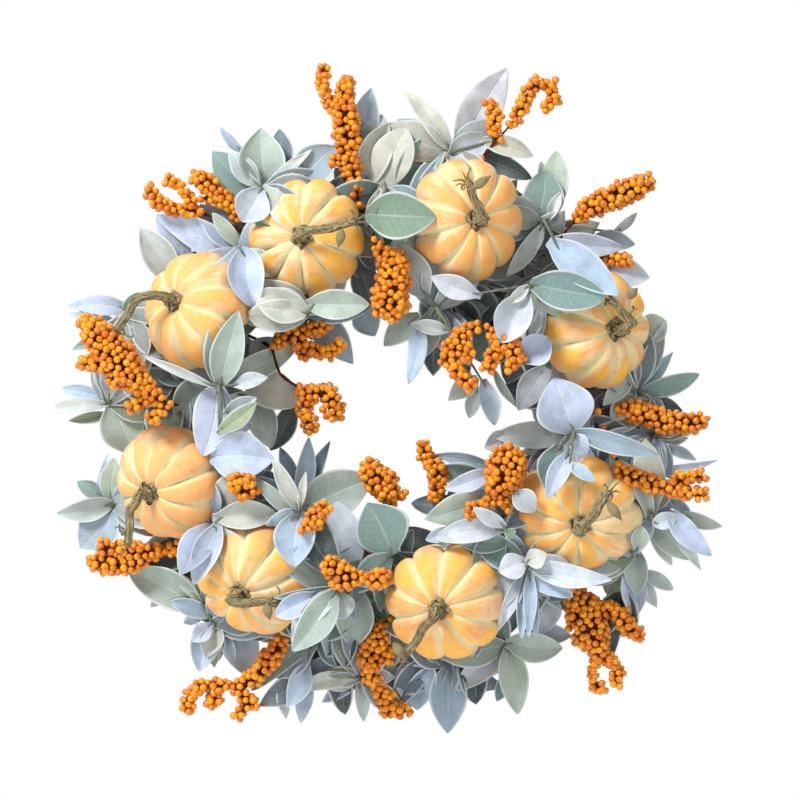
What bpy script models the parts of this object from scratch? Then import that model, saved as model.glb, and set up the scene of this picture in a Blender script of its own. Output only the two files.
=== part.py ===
"""Harvest door wreath: a twisted vine ring dressed with pumpkins, felt leaves and berry picks.

World frame: metres, +Z up, the front of the wreath faces -Y and the door is behind it at +Y.
The origin is the hanging point, the inside top of the wire hanging loop.

The dressing is laid up as it is by hand, with the ring flat on a bench. Face coordinates are
(across, up, height): across and up lie in the plane of the ring, from its centre, and height
rises from the bench towards the viewer. A piece is given its place across and up, and its
height is the lowest at which it clears the pieces that lie under it. A spray or a pick has one
or more risers, straight wires that stand on its foot and carry its blades or its stems.
"""
import math

import bmesh
import bpy
import numpy as np
from mathutils import Matrix, Vector

MM = 0.001

# Driving dimensions, in metres
RING_RADIUS = 0.150          # centre line of the bundle of canes
STRAND_RADIUS = 0.004
STRAND_COUNT = 4
STRAND_TWISTS = 3            # turns of the canes round the bundle in one lap
STRAND_OPENING = math.radians(6)   # between the two ends of a cane
STRAND_POINTS = 28
LOOP_WIRE_RADIUS = 0.0012
LOOP_RADIUS = 0.011          # centre line of the hanging loop
LOOP_NECK = 0.006            # from the eye's wire to the loop's wire
TIE_WIRE_RADIUS = 0.0010
PUMPKIN_WIDTH = 0.086
PUMPKIN_HEIGHT = 0.066       # along its own axis, stem to blossom end
PUMPKIN_LOBES = 10
GROOVE_DEPTH = 0.0030
STEM_FLARE_RADIUS = 0.009
STEM_SHAFT_RADIUS = 0.0042
PEG_RADIUS = 0.003
PEG_LENGTH = 0.010
LEAF_THICKNESS = 0.0012
STALK_WIDTH = 0.0024
RISER_RADIUS = 0.0019
FOOT_RADIUS = 0.0015

# Clearances
CLEARANCE = 0.0003           # between pieces that touch
SWING_CLEARANCE = 0.0008     # round the eye of the hanging loop
SLIT_CLEARANCE = 0.0006      # round a riser that passes a foreign leaf

# The layout below was set out on a ring of this radius; it moves out or in with the ring.
LAYOUT_RADIUS = 0.150

# Worked out from the driving dimensions
STRAND_GAP = 2 * (LOOP_WIRE_RADIUS + SWING_CLEARANCE)
HELIX_RADIUS = (2 * STRAND_RADIUS + STRAND_GAP) / math.sqrt(2)
BUNDLE_RADIUS = HELIX_RADIUS + STRAND_RADIUS
TIE_SIDES = 12
TIE_RADIUS = (BUNDLE_RADIUS + CLEARANCE + TIE_WIRE_RADIUS) / math.cos(math.pi / TIE_SIDES)
CENTRE_HEIGHT = TIE_RADIUS + TIE_WIRE_RADIUS
EYE_RADIUS = STRAND_RADIUS + SWING_CLEARANCE + LOOP_WIRE_RADIUS
LOOP_CENTRE = EYE_RADIUS + LOOP_NECK + LOOP_RADIUS
DROP = RING_RADIUS + HELIX_RADIUS + LOOP_CENTRE + LOOP_RADIUS - LOOP_WIRE_RADIUS
FACE_TO_WORLD = Matrix(((1, 0, 0, 0), (0, 0, -1, CENTRE_HEIGHT), (0, 1, 0, -DROP), (0, 0, 0, 1)))
SEAT_HEIGHT = 0.36 * PUMPKIN_HEIGHT   # floor of the stem's seat above the pumpkin's middle
POLE_DIP = 0.10 * PUMPKIN_HEIGHT
BLADE_CANT = 16.0                     # degrees, most that a blade leans about its own midrib
BROAD_OUTLINE = ((0.25, 0.42), (0.62, 0.46), (1.0, 0.10))   # along the blade, half width
SLIM_OUTLINE = ((0.45, 0.46), (1.0, 0.10))
STALK_FROM = 0.012                    # a root farther than this from its riser has a stalk
TIE_CLOCK = (28, 152, 268)            # degrees round the ring

# Order of laying
UNDER, REAR, GOURDS, MIDDLE, BERRIES, FRONT, TOP = range(7)
BLADE_RISE = {UNDER: -0.10, REAR: -0.04, MIDDLE: 0.04, FRONT: 0.10, TOP: 0.12}   # of its length

# Pumpkins: middle, width and height seen from the front against PUMPKIN_WIDTH, offset of the
# stem's seat from the middle, and the points that the stem bends through, all in mm
PUMPKINS = [
    ((-58, 121), (0.98, 1.02), (-4, 1), [(-44, 127), (-22, 132)]),
    ((60, 135), (0.96, 1.06), (9, 0), [(68, 146), (60, 163)]),
    ((-139, 68), (0.98, 1.02), (-18, 7), [(-180, 77), (-197, 52)]),
    ((-159, -59), (0.97, 0.99), (-16, -8), [(-187, -80), (-188, -104)]),
    ((-96, -130), (1.02, 1.00), (-12, -12), [(-92, -147), (-78, -147)]),
    ((45, -148), (1.03, 1.01), (-6, -5), [(25, -172), (11, -192)]),
    ((143, -83), (1.11, 1.00), (0, -9), [(153, -84), (164, -66)]),
    ((157, 54), (0.95, 1.02), (15, 0), [(182, 60), (165, 76)]),
]

# Sprays: for each whorl its riser, then its blades as (root, tip, width, layer), in mm
SPRAYS = {
    "leaf_spray_upper_left": [
        ((-107, 113), [
            ((-150, 112), (-170, 140), 18, UNDER), ((-160, 96), (-182, 129), 22, UNDER),
            ((-115, 108), (-168, 138), 22, REAR), ((-106, 120), (-137, 146), 24, REAR),
            ((-109, 117), (-128, 140), 10, MIDDLE), ((-103, 107), (-97, 71), 24, FRONT)]),
        ((-91, 158), [
            ((-108, 188), (-123, 205), 7, UNDER), ((-76, 178), (-79, 203), 16, UNDER),
            ((-89, 164), (-93, 203), 31, REAR), ((-100, 158), (-128, 186), 27, REAR),
            ((-62, 165), (-38, 190), 28, REAR), ((-97, 164), (-116, 186), 16, MIDDLE),
            ((-84, 164), (-56, 187), 8, MIDDLE), ((-93, 155), (-105, 134), 24, FRONT)])],
    "leaf_spray_top": [
        ((1, 158), [
            ((-17, 193), (-11, 233), 20, UNDER), ((-8, 190), (-3, 214), 20, REAR),
            ((-14, 168), (7, 208), 22, REAR), ((15, 156), (43, 200), 27, REAR),
            ((0, 164), (15, 203), 28, MIDDLE), ((-5, 156), (-14, 131), 9, FRONT),
            ((-6, 138), (36, 136), 32, TOP)]),
        ((48, 186), [
            ((38, 198), (10, 211), 14, UNDER), ((60, 196), (90, 248), 28, UNDER),
            ((66, 184), (108, 168), 16, UNDER), ((45, 194), (16, 231), 14, REAR),
            ((52, 184), (76, 198), 20, REAR), ((78, 194), (109, 184), 14, REAR)])],
    "leaf_spray_upper_right": [
        ((117, 134), [
            ((119, 156), (117, 179), 9, UNDER), ((128, 150), (128, 186), 18, UNDER),
            ((160, 122), (186, 118), 14, UNDER), ((172, 127), (188, 141), 6, UNDER),
            ((114, 138), (120, 171), 28, REAR), ((131, 123), (157, 129), 10, REAR),
            ((168, 100), (196, 93), 20, REAR), ((123, 138), (131, 156), 8, MIDDLE),
            ((130, 119), (175, 115), 16, MIDDLE), ((115, 128), (92, 95), 12, FRONT),
            ((128, 113), (170, 80), 24, FRONT)])],
    "leaf_spray_inner_right": [
        ((107, 86), [
            ((100, 86), (54, 72), 24, MIDDLE), ((66, 80), (35, 92), 16, MIDDLE),
            ((108, 68), (98, 46), 24, MIDDLE), ((104, 33), (120, 47), 22, MIDDLE),
            ((102, 76), (86, 45), 24, FRONT), ((112, 86), (160, 77), 26, FRONT),
            ((104, 84), (91, 73), 8, TOP)])],
    "leaf_spray_inner_top": [
        ((38, 70), [
            ((22, 62), (0, 43), 18, REAR), ((66, 16), (48, 2), 14, REAR),
            ((69, 8), (63, -11), 10, REAR), ((82, 22), (98, -3), 6, REAR),
            ((27, 84), (9, 117), 24, MIDDLE), ((25, 54), (18, 15), 13, MIDDLE),
            ((44, 53), (20, 58), 10, MIDDLE), ((74, 12), (81, -16), 14, MIDDLE)]),
        ((-57, 66), [
            ((-18, 68), (-8, 50), 20, MIDDLE), ((-50, 60), (-25, 30), 22, MIDDLE),
            ((-60, 66), (-95, 80), 22, FRONT), ((-52, 72), (-13, 72), 20, FRONT)])],
    "leaf_spray_right": [
        ((186, 8), [
            ((194, 52), (210, 60), 20, UNDER), ((200, 0), (222, -7), 12, UNDER),
            ((187, 14), (208, 57), 14, REAR), ((192, 12), (214, 36), 10, MIDDLE),
            ((196, 8), (233, 20), 14, MIDDLE), ((181, 14), (163, -2), 12, FRONT)]),
        ((200, -26), [
            ((206, -52), (247, -44), 7, UNDER), ((189, -16), (191, -36), 9, REAR),
            ((210, -28), (226, -27), 8, REAR), ((210, -34), (232, -43), 8, REAR),
            ((203, -28), (209, -50), 9, MIDDLE), ((205, -22), (220, -22), 8, MIDDLE)])],
    "leaf_spray_right_gap": [
        ((139, -22), [
            ((150, -18), (192, -31), 22, REAR), ((92, -27), (75, -34), 16, REAR),
            ((118, 22), (100, -5), 20, MIDDLE), ((133, -25), (82, -25), 18, MIDDLE),
            ((127, -36), (119, -63), 20, MIDDLE), ((137, -17), (125, 16), 40, FRONT),
            ((144, -23), (199, -38), 14, FRONT), ((140, -26), (148, -38), 13, FRONT),
            ((133, -42), (120, -70), 14, TOP), ((136, -46), (154, -58), 9, TOP)])],
    "leaf_spray_lower_right": [
        ((197, -84), [
            ((212, -74), (228, -82), 8, UNDER), ((224, -85), (251, -93), 10, UNDER),
            ((200, -100), (214, -121), 8, UNDER), ((198, -78), (214, -78), 18, REAR),
            ((212, -90), (235, -124), 10, REAR), ((201, -92), (228, -117), 20, REAR),
            ((196, -80), (190, -62), 10, MIDDLE), ((214, -86), (241, -113), 16, MIDDLE),
            ((201, -90), (216, -84), 12, MIDDLE)]),
        ((184, -112), [
            ((194, -128), (215, -140), 10, UNDER), ((190, -132), (203, -153), 10, UNDER),
            ((181, -117), (166, -142), 20, REAR), ((182, -126), (187, -160), 18, REAR),
            ((188, -114), (188, -142), 16, MIDDLE), ((187, -108), (190, -92), 12, MIDDLE)])],
    "leaf_spray_lower_gap": [
        ((104, -122), [
            ((99, -148), (93, -173), 10, REAR), ((101, -128), (95, -146), 10, REAR),
            ((117, -146), (117, -173), 26, MIDDLE), ((103, -127), (84, -168), 10, FRONT),
            ((105, -130), (101, -173), 8, FRONT), ((110, -134), (112, -172), 8, FRONT),
            ((110, -132), (138, -143), 13, FRONT), ((108, -121), (165, -131), 16, FRONT),
            ((107, -131), (106, -172), 9, TOP), ((102, -118), (85, -125), 18, TOP),
            ((106, -117), (119, -112), 14, TOP)])],
    "leaf_spray_bottom_right": [
        ((90, -182), [
            ((91, -204), (84, -223), 10, REAR), ((106, -172), (138, -175), 15, REAR),
            ((84, -180), (60, -202), 12, REAR), ((88, -186), (54, -214), 18, MIDDLE),
            ((93, -188), (99, -231), 20, MIDDLE), ((94, -180), (131, -184), 20, MIDDLE)]),
        ((46, -196), [
            ((24, -192), (24, -229), 28, REAR), ((47, -200), (47, -246), 26, REAR)])],
    "leaf_spray_inner_lower_right": [
        ((88, -94), [
            ((50, -78), (21, -76), 16, REAR), ((76, -48), (38, -40), 9, REAR),
            ((88, -104), (55, -104), 15, MIDDLE), ((46, -95), (31, -102), 10, MIDDLE),
            ((72, -74), (31, -86), 22, MIDDLE), ((74, -54), (46, -64), 13, MIDDLE),
            ((82, -94), (39, -100), 16, FRONT), ((98, -68), (110, -80), 16, FRONT),
            ((86, -90), (66, -78), 10, TOP), ((90, -95), (95, -99), 8, TOP)])],
    "leaf_spray_bottom": [
        ((-18, -206), [
            ((-12, -208), (-8, -226), 11, UNDER), ((-22, -210), (-46, -224), 10, REAR),
            ((-19, -212), (-16, -238), 10, REAR), ((-22, -202), (-38, -202), 10, MIDDLE),
            ((-26, -206), (-66, -214), 12, MIDDLE)]),
        ((-52, -178), [
            ((-51, -184), (-65, -210), 16, UNDER), ((-58, -214), (-63, -239), 12, UNDER),
            ((-76, -212), (-74, -236), 10, UNDER), ((-56, -181), (-98, -214), 12, REAR),
            ((-60, -200), (-72, -227), 16, MIDDLE)])],
    "leaf_spray_lower_left_gap": [
        ((-36, -138), [
            ((-34, -148), (-38, -197), 20, MIDDLE), ((-20, -144), (-24, -182), 26, MIDDLE),
            ((-33, -128), (-35, -76), 30, FRONT), ((-42, -137), (-80, -143), 8, FRONT),
            ((-54, -143), (-79, -156), 16, FRONT), ((-33, -142), (-30, -158), 18, FRONT),
            ((-40, -141), (-65, -166), 14, FRONT), ((-39, -143), (-66, -180), 22, TOP)])],
    "leaf_spray_lower_left": [
        ((-128, -165), [
            ((-112, -172), (-103, -204), 25, UNDER), ((-163, -142), (-175, -153), 9, UNDER),
            ((-138, -160), (-150, -165), 8, REAR), ((-130, -168), (-139, -200), 20, REAR),
            ((-119, -174), (-113, -192), 8, REAR), ((-142, -150), (-190, -127), 26, REAR),
            ((-133, -158), (-159, -149), 12, MIDDLE), ((-126, -170), (-133, -190), 16, MIDDLE),
            ((-140, -146), (-160, -126), 8, MIDDLE), ((-131, -167), (-143, -178), 13, FRONT)])],
    "leaf_spray_left_low": [
        ((-128, -91), [
            ((-158, -103), (-178, -106), 10, UNDER), ((-120, -85), (-80, -83), 19, MIDDLE),
            ((-124, -94), (-140, -133), 18, FRONT)]),
        ((-203, -76), [
            ((-214, -70), (-208, -40), 10, UNDER), ((-212, -70), (-230, -60), 12, UNDER),
            ((-205, -70), (-203, -43), 16, REAR), ((-210, -82), (-226, -88), 8, REAR),
            ((-205, -82), (-226, -108), 28, REAR), ((-208, -77), (-243, -83), 16, MIDDLE)])],
    "leaf_spray_left": [
        ((-206, 0), [
            ((-210, -10), (-236, -14), 8, UNDER), ((-212, 4), (-242, 10), 10, UNDER),
            ((-202, -6), (-187, -38), 30, REAR), ((-211, -2), (-251, -6), 10, REAR),
            ((-211, 6), (-218, 26), 10, REAR), ((-206, 4), (-205, 19), 8, MIDDLE)]),
        ((-193, 66), [
            ((-206, 60), (-235, 66), 10, UNDER), ((-206, 54), (-233, 40), 10, UNDER),
            ((-198, 71), (-236, 72), 14, REAR), ((-191, 68), (-183, 81), 14, REAR)])],
    "leaf_spray_left_gap": [
        ((-122, 12), [
            ((-98, 35), (-85, 48), 14, REAR), ((-70, -6), (-85, -35), 16, REAR),
            ((-132, 14), (-155, -15), 26, MIDDLE), ((-118, -6), (-100, 6), 14, MIDDLE),
            ((-98, 1), (-85, -33), 20, MIDDLE), ((-98, 15), (-63, 0), 26, MIDDLE),
            ((-112, 18), (-67, 41), 18, MIDDLE), ((-124, 6), (-133, -38), 28, FRONT),
            ((-122, -40), (-83, -42), 32, FRONT), ((-116, -8), (-95, 3), 10, FRONT),
            ((-108, 13), (-87, 18), 11, FRONT), ((-120, 18), (-108, 65), 22, FRONT),
            ((-132, 14), (-178, 34), 6, FRONT), ((-119, -20), (-95, -1), 12, TOP)])],
    "leaf_spray_inner_bottom": [
        ((-63, -80), [
            ((-66, -58), (-78, -35), 10, REAR), ((-59, -72), (-42, -31), 11, REAR),
            ((-68, -76), (-92, -52), 20, REAR), ((-62, -66), (-57, -28), 13, MIDDLE),
            ((-56, -76), (-12, -57), 32, MIDDLE), ((-68, -82), (-96, -56), 10, FRONT),
            ((-64, -86), (-67, -120), 27, FRONT), ((-65, -75), (-81, -43), 11, TOP),
            ((-62, -75), (-58, -52), 6, TOP)]),
        ((4, -114), [((4, -108), (-12, -76), 38, FRONT)])],
}

# Picks: the riser, then one or more branched stems as (layer, branches); a branch is a list of
# (across, up, radius) in mm, and the first one starts at the riser
WIRE = 1.3
PICKS = {
    "berry_pick_upper_left": ((-104, 127), [
        (REAR, [[(-104, 127, WIRE), (-125, 137, WIRE), (-143, 143, 4), (-160, 144, 5),
                 (-170, 151, 5), (-178, 159, 3.5)]]),
        (BERRIES, [[(-104, 127, WIRE), (-105, 135, 2), (-109, 142, 6), (-120, 151, 7),
                    (-133, 163, 7), (-143, 169, 4.5)],
                   [(-120, 151, 3), (-145, 151, 3), (-153, 162, 4), (-163, 166, 4)]])]),
    "berry_pick_top": ((-19, 146), [
        (BERRIES, [[(-19, 146, WIRE), (-22, 160, 4), (-26, 180, 8), (-28, 200, 9.5),
                    (-29, 215, 9), (-30, 229, 6), (-28, 243, 4)],
                   [(-29, 212, 5), (-38, 221, 5), (-47, 235, 4.5), (-46, 252, 3.5)],
                   [(-26, 180, 4), (-40, 181, 3.5)]])]),
    "berry_pick_top_right": ((72, 181), [
        (REAR, [[(72, 181, WIRE), (86, 197, WIRE), (98, 211, 4), (104, 224, 5), (112, 238, 5),
                 (124, 236, 5), (126, 225, 5), (118, 218, 4)],
                [(84, 195, 1.9), (80, 206, 5), (84, 213, 5), (77, 223, 3.5)]])]),
    "berry_pick_right_upper": ((127, 117), [
        (REAR, [[(127, 117, WIRE), (145, 110, WIRE), (157, 108, 4), (183, 106, 4.5)]]),
        (BERRIES, [[(127, 117, WIRE), (137, 131, WIRE), (147, 142, 5), (158, 147, 8),
                    (172, 153, 9), (188, 160, 8), (199, 166, 4)],
                   [(147, 142, 3), (151, 135, 4)]])]),
    "berry_pick_left": ((-158, -2), [
        (BERRIES, [[(-158, -2, WIRE), (-166, 3, 4), (-178, 12, 8), (-190, 22, 14),
                    (-198, 33, 15), (-208, 46, 11), (-215, 55, 9), (-222, 62, 5)],
                   [(-190, 22, 6), (-210, 27, 6), (-224, 31, 5)],
                   [(-166, 3, 3), (-180, -1, 3), (-188, -5, 4.5)],
                   [(-160, -3, 2), (-167, -8, 4), (-172, -14, 5)]])]),
    "berry_pick_inner_left": ((-84, 41), [
        (BERRIES, [[(-84, 41, WIRE), (-76, 47, 5), (-66, 51, 6), (-55, 53, 5), (-41, 57, 4)],
                   [(-66, 51, 4), (-62, 41, 5), (-60, 32, 4)],
                   [(-62, 41, 4), (-50, 38, 5), (-42, 36, 5), (-33, 45, 4)]]),
        (FRONT, [[(-84, 41, WIRE), (-79, 19, WIRE), (-65, 12, WIRE), (-58, 6, 6), (-60, -6, 6),
                  (-56, -13, 5), (-55, -22, 5)],
                 [(-58, 6, 5), (-44, 8, 7), (-38, -2, 8), (-38, -12, 6)]])]),
    "berry_pick_inner_top": ((-8, 120), [
        (BERRIES, [[(-8, 120, WIRE), (-3, 112, 4), (6, 104, 11), (6, 92, 12), (4, 80, 13),
                    (4, 70, 14), (2, 61, 6)]])]),
    "berry_pick_inner_right": ((76, 56), [
        (BERRIES, [[(76, 56, WIRE), (64, 54, 4), (56, 50, 6), (50, 40, 7), (47, 31, 6),
                    (54, 22, 5), (64, 10, 5)],
                   [(56, 50, 4), (61, 40, 5), (60, 30, 4)],
                   [(76, 56, WIRE), (79, 49, 4), (86, 43, 7), (94, 41, 8), (97, 33, 6),
                    (91, 24, 4)],
                   [(86, 43, 4), (79, 33, 5), (74, 24, 4)]])]),
    "berry_pick_right": ((158, -8), [
        (MIDDLE, [[(158, -8, WIRE), (156, -17, WIRE), (163, -23, 4), (169, -26, 4)]]),
        (BERRIES, [[(158, -8, WIRE), (170, -4, WIRE), (180, -5, 7), (195, -10, 8),
                    (210, -15, 8), (225, -16, 8), (240, -14, 4)],
                   [(196, -12, 5), (196, -19, 4)], [(224, -16, 5), (224, -23, 4)]])]),
    "berry_pick_right_low": ((170, -38), [
        (MIDDLE, [[(170, -38, WIRE), (183, -45, WIRE), (190, -45, 3), (195, -44, 4)]]),
        (BERRIES, [[(170, -38, WIRE), (174, -50, 4), (180, -54, 6), (190, -57, 6),
                    (200, -62, 6), (212, -64, 5), (222, -67, 5), (237, -68, 4.5)],
                   [(212, -63, 4), (219, -56, 4.5), (236, -54, 5)]])]),
    "berry_pick_lower_right": ((132, -134), [
        (BERRIES, [[(132, -134, WIRE), (139, -141, 6), (146, -150, 12), (150, -163, 14),
                    (155, -175, 13), (160, -187, 7), (158, -194, 4), (155, -202, 4),
                    (157, -211, 4), (163, -216, 4)],
                   [(150, -160, 8), (137, -158, 7)], [(150, -172, 7), (141, -178, 4.5)],
                   [(155, -160, 8), (166, -154, 6), (176, -160, 7), (182, -169, 6),
                    (192, -175, 4.5)],
                   [(160, -186, 5), (168, -192, 5), (174, -203, 4.5), (173, -211, 4.5)]])]),
    "berry_pick_inner_lower_right": ((90, -80), [
        (REAR, [[(90, -80, WIRE), (62, -77, WIRE), (42, -77, 2), (38, -71, 6), (40, -60, 7),
                 (40, -52, 7.5), (33, -44, 6), (29, -36, 5), (29, -29, 3.5)]]),
        (BERRIES, [[(90, -80, WIRE), (88, -72, 5), (86, -64, 11), (88, -52, 15),
                    (91, -42, 14), (86, -34, 6)],
                   [(90, -60, 6), (97, -63, 5)],
                   [(88, -73, 3), (78, -72, 4), (66, -79, 5), (60, -82, 4.5)]])]),
    "berry_pick_inner_bottom": ((-12, -127), [
        (BERRIES, [[(-12, -127, WIRE), (-3, -112, WIRE), (3, -95, WIRE), (4, -76, 3),
                    (3, -68, 9), (-4, -58, 12), (-11, -50, 9), (-9, -43, 5)],
                   [(3, -68, 5), (9, -66, 4.5), (13, -71, 3.5)],
                   [(-12, -127, WIRE), (-11, -108, 5), (-17, -99, 3.5)]]),
        (TOP, [[(-12, -127, WIRE), (-18, -128, 5), (-27, -128, 8), (-36, -122, 8),
                (-44, -117, 5.5)],
               [(-27, -128, 5), (-37, -134, 4.5)],
               [(-12, -127, 3), (-8, -131, 6), (0, -128, 6.5), (1, -124, 4)]])]),
    "berry_pick_left_gap": ((-112, -64), [
        (TOP, [[(-112, -64, WIRE), (-112, -59, 7), (-104, -61, 9), (-98, -69, 6)]])]),
    "berry_pick_inner_lower_left": ((-60, -94), [
        (FRONT, [[(-60, -94, WIRE), (-55, -88, 6), (-48, -83, 7), (-42, -77, 4)],
                 [(-52, -86, 4), (-50, -92, 4)]])]),
    "berry_pick_bottom_left": ((-70, -168), [
        (REAR, [[(-70, -168, WIRE), (-76, -176, 6), (-84, -189, 8), (-94, -201, 7),
                 (-106, -211, 6.5), (-108, -218, 5), (-102, -224, 5.5), (-95, -224, 5.5)],
                [(-103, -224, 3.5), (-107, -233, 3.5), (-112, -236, 3)],
                [(-108, -211, 2), (-120, -212, 4), (-133, -211, 4.5), (-146, -218, 5),
                 (-149, -226, 5), (-144, -230, 4)],
                [(-124, -212, 4), (-126, -221, 4.5), (-131, -227, 4)]])]),
    "berry_pick_bottom": ((3, -162), [
        (REAR, [[(3, -162, WIRE), (0, -168, 5), (-5, -176, 9), (-10, -185, 10), (-12, -194, 8),
                 (-9, -204, 7), (-6, -212, 4), (1, -222, 7), (2, -229, 7), (10, -230, 6),
                 (18, -230, 4)],
                [(-8, -188, 4), (4, -191, 6)]])]),
    "berry_pick_lower_left": ((-144, -110), [
        (REAR, [[(-144, -110, 3), (-154, -108, 5), (-165, -110, 3), (-172, -112, 6),
                 (-185, -113, 8), (-200, -110, 7), (-213, -108, 5.5)],
                [(-176, -112, 6), (-190, -121, 7), (-205, -122, 7.5), (-221, -119, 4)]])]),
}

COLOURS = {
    "vine": ((0.10, 0.055, 0.030), 0.90, 0.0), "wire": ((0.16, 0.15, 0.14), 0.45, 1.0),
    "pumpkin": ((0.92, 0.46, 0.10), 0.55, 0.0), "dried_stem": ((0.30, 0.23, 0.12), 0.85, 0.0),
    "felt_leaf": ((0.42, 0.50, 0.50), 0.95, 0.0), "berry": ((0.85, 0.30, 0.03), 0.30, 0.0),
}


def clear_scene():
    """Empty the startup scene."""
    for item in list(bpy.data.objects):
        bpy.data.objects.remove(item, do_unlink=True)


def make_collection(name):
    """A collection linked to the scene."""
    collection = bpy.data.collections.new(name)
    bpy.context.scene.collection.children.link(collection)
    return collection


def material(name):
    """The named finish as a Principled BSDF."""
    if name in bpy.data.materials:
        return bpy.data.materials[name]
    colour, roughness, metallic = COLOURS[name]
    finish = bpy.data.materials.new(name)
    finish.use_nodes = True
    shader = finish.node_tree.nodes["Principled BSDF"]
    shader.inputs["Base Color"].default_value = (*colour, 1.0)
    shader.inputs["Roughness"].default_value = roughness
    shader.inputs["Metallic"].default_value = metallic
    finish.diffuse_color = (*colour, 1.0)
    return finish


def mesh_from(bm, name):
    """A new mesh holding bm, triangulated, with its faces pointing out."""
    bmesh.ops.triangulate(bm, faces=bm.faces[:])
    bmesh.ops.recalc_face_normals(bm, faces=bm.faces[:])
    mesh = bpy.data.meshes.new(name)
    bm.to_mesh(mesh)
    bm.free()
    return mesh


def evaluated_mesh(piece):
    """The piece's mesh with its modifiers applied, and the piece removed."""
    bpy.context.view_layer.update()
    graph = bpy.context.evaluated_depsgraph_get()
    mesh = bpy.data.meshes.new_from_object(piece.evaluated_get(graph))
    mesh.transform(piece.matrix_world)
    bpy.data.objects.remove(piece, do_unlink=True)
    return mesh


def loose_object(mesh):
    """An object for a mesh that is about to be joined or used as a cutter."""
    piece = bpy.data.objects.new(mesh.name, mesh)
    TOOLS.objects.link(piece)
    piece.hide_render = True
    piece.display_type = "WIRE"
    return piece


def combine(base, others, operation):
    """The base mesh with the others joined to it or cut from it."""
    if not others:
        return base
    helpers = bpy.data.collections.new("helpers")
    for other in others:
        helpers.objects.link(loose_object(other))
    piece = loose_object(base)
    boolean = piece.modifiers.new(operation.lower(), "BOOLEAN")
    boolean.operation = operation
    boolean.operand_type = "COLLECTION"
    boolean.collection = helpers
    mesh = evaluated_mesh(piece)
    for helper in list(helpers.objects):
        bpy.data.objects.remove(helper, do_unlink=True)
    bpy.data.collections.remove(helpers)
    return mesh


def add_piece(name, mesh, finish, matrix, smooth=40):
    """Put a finished mesh in the wreath's collection under its own name."""
    mesh.name = name
    mesh.materials.clear()
    mesh.materials.append(material(finish))
    mesh.shade_smooth()
    mesh.set_sharp_from_angle(angle=math.radians(smooth))
    piece = bpy.data.objects.new(name, mesh)
    PARTS.objects.link(piece)
    piece.matrix_world = matrix
    return piece


def tube(path, radii, cyclic=False, fineness=1):
    """A closed wire or cane along the path, with its own radius at each point."""
    curve = bpy.data.curves.new("tube", "CURVE")
    curve.dimensions = "3D"
    curve.bevel_depth = 1.0
    curve.bevel_resolution = fineness
    curve.use_fill_caps = True
    spline = curve.splines.new("POLY")
    spline.points.add(len(path) - 1)
    spline.use_cyclic_u = cyclic
    for point, place, radius in zip(spline.points, path, radii):
        point.co = (*place, 1.0)
        point.radius = radius
    piece = bpy.data.objects.new("tube", curve)
    TOOLS.objects.link(piece)
    mesh = evaluated_mesh(piece)
    bpy.data.curves.remove(curve)
    bm = bmesh.new()
    bm.from_mesh(mesh)
    bmesh.ops.remove_doubles(bm, verts=bm.verts[:], dist=1e-6)
    return mesh_from(bm, "tube")


def cylinder(radius, low, high, place, sides):
    """An upright cylinder from low to high in its own frame, then placed."""
    bm = bmesh.new()
    bmesh.ops.create_cone(bm, cap_ends=True, segments=sides, radius1=radius, radius2=radius,
                          depth=high - low)
    bmesh.ops.translate(bm, verts=bm.verts[:], vec=(0, 0, (low + high) / 2))
    bmesh.ops.transform(bm, verts=bm.verts[:], matrix=place)
    return mesh_from(bm, "cylinder")


def ring_torus(major, minor, sides, wire_sides):
    """A closed wire ring in the XY plane: a circle spun round the Z axis."""
    bm = bmesh.new()
    circle = bmesh.ops.create_circle(bm, segments=wire_sides, radius=minor)["verts"]
    bmesh.ops.rotate(bm, verts=circle, cent=(0, 0, 0), matrix=Matrix.Rotation(math.pi / 2, 3, "X"))
    bmesh.ops.translate(bm, verts=circle, vec=(major, 0, 0))
    bmesh.ops.spin(bm, geom=bm.edges[:], cent=(0, 0, 0), axis=(0, 0, 1), angle=math.tau,
                   steps=sides, use_merge=True)
    bmesh.ops.remove_doubles(bm, verts=bm.verts[:], dist=1e-6)
    return mesh_from(bm, "ring")


def spread(across, up):
    """A layout point in millimetres, moved out or in with the ring, in metres."""
    point = Vector((across, up)) * MM
    return point * (1 + (RING_RADIUS - LAYOUT_RADIUS) / point.length)


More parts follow.
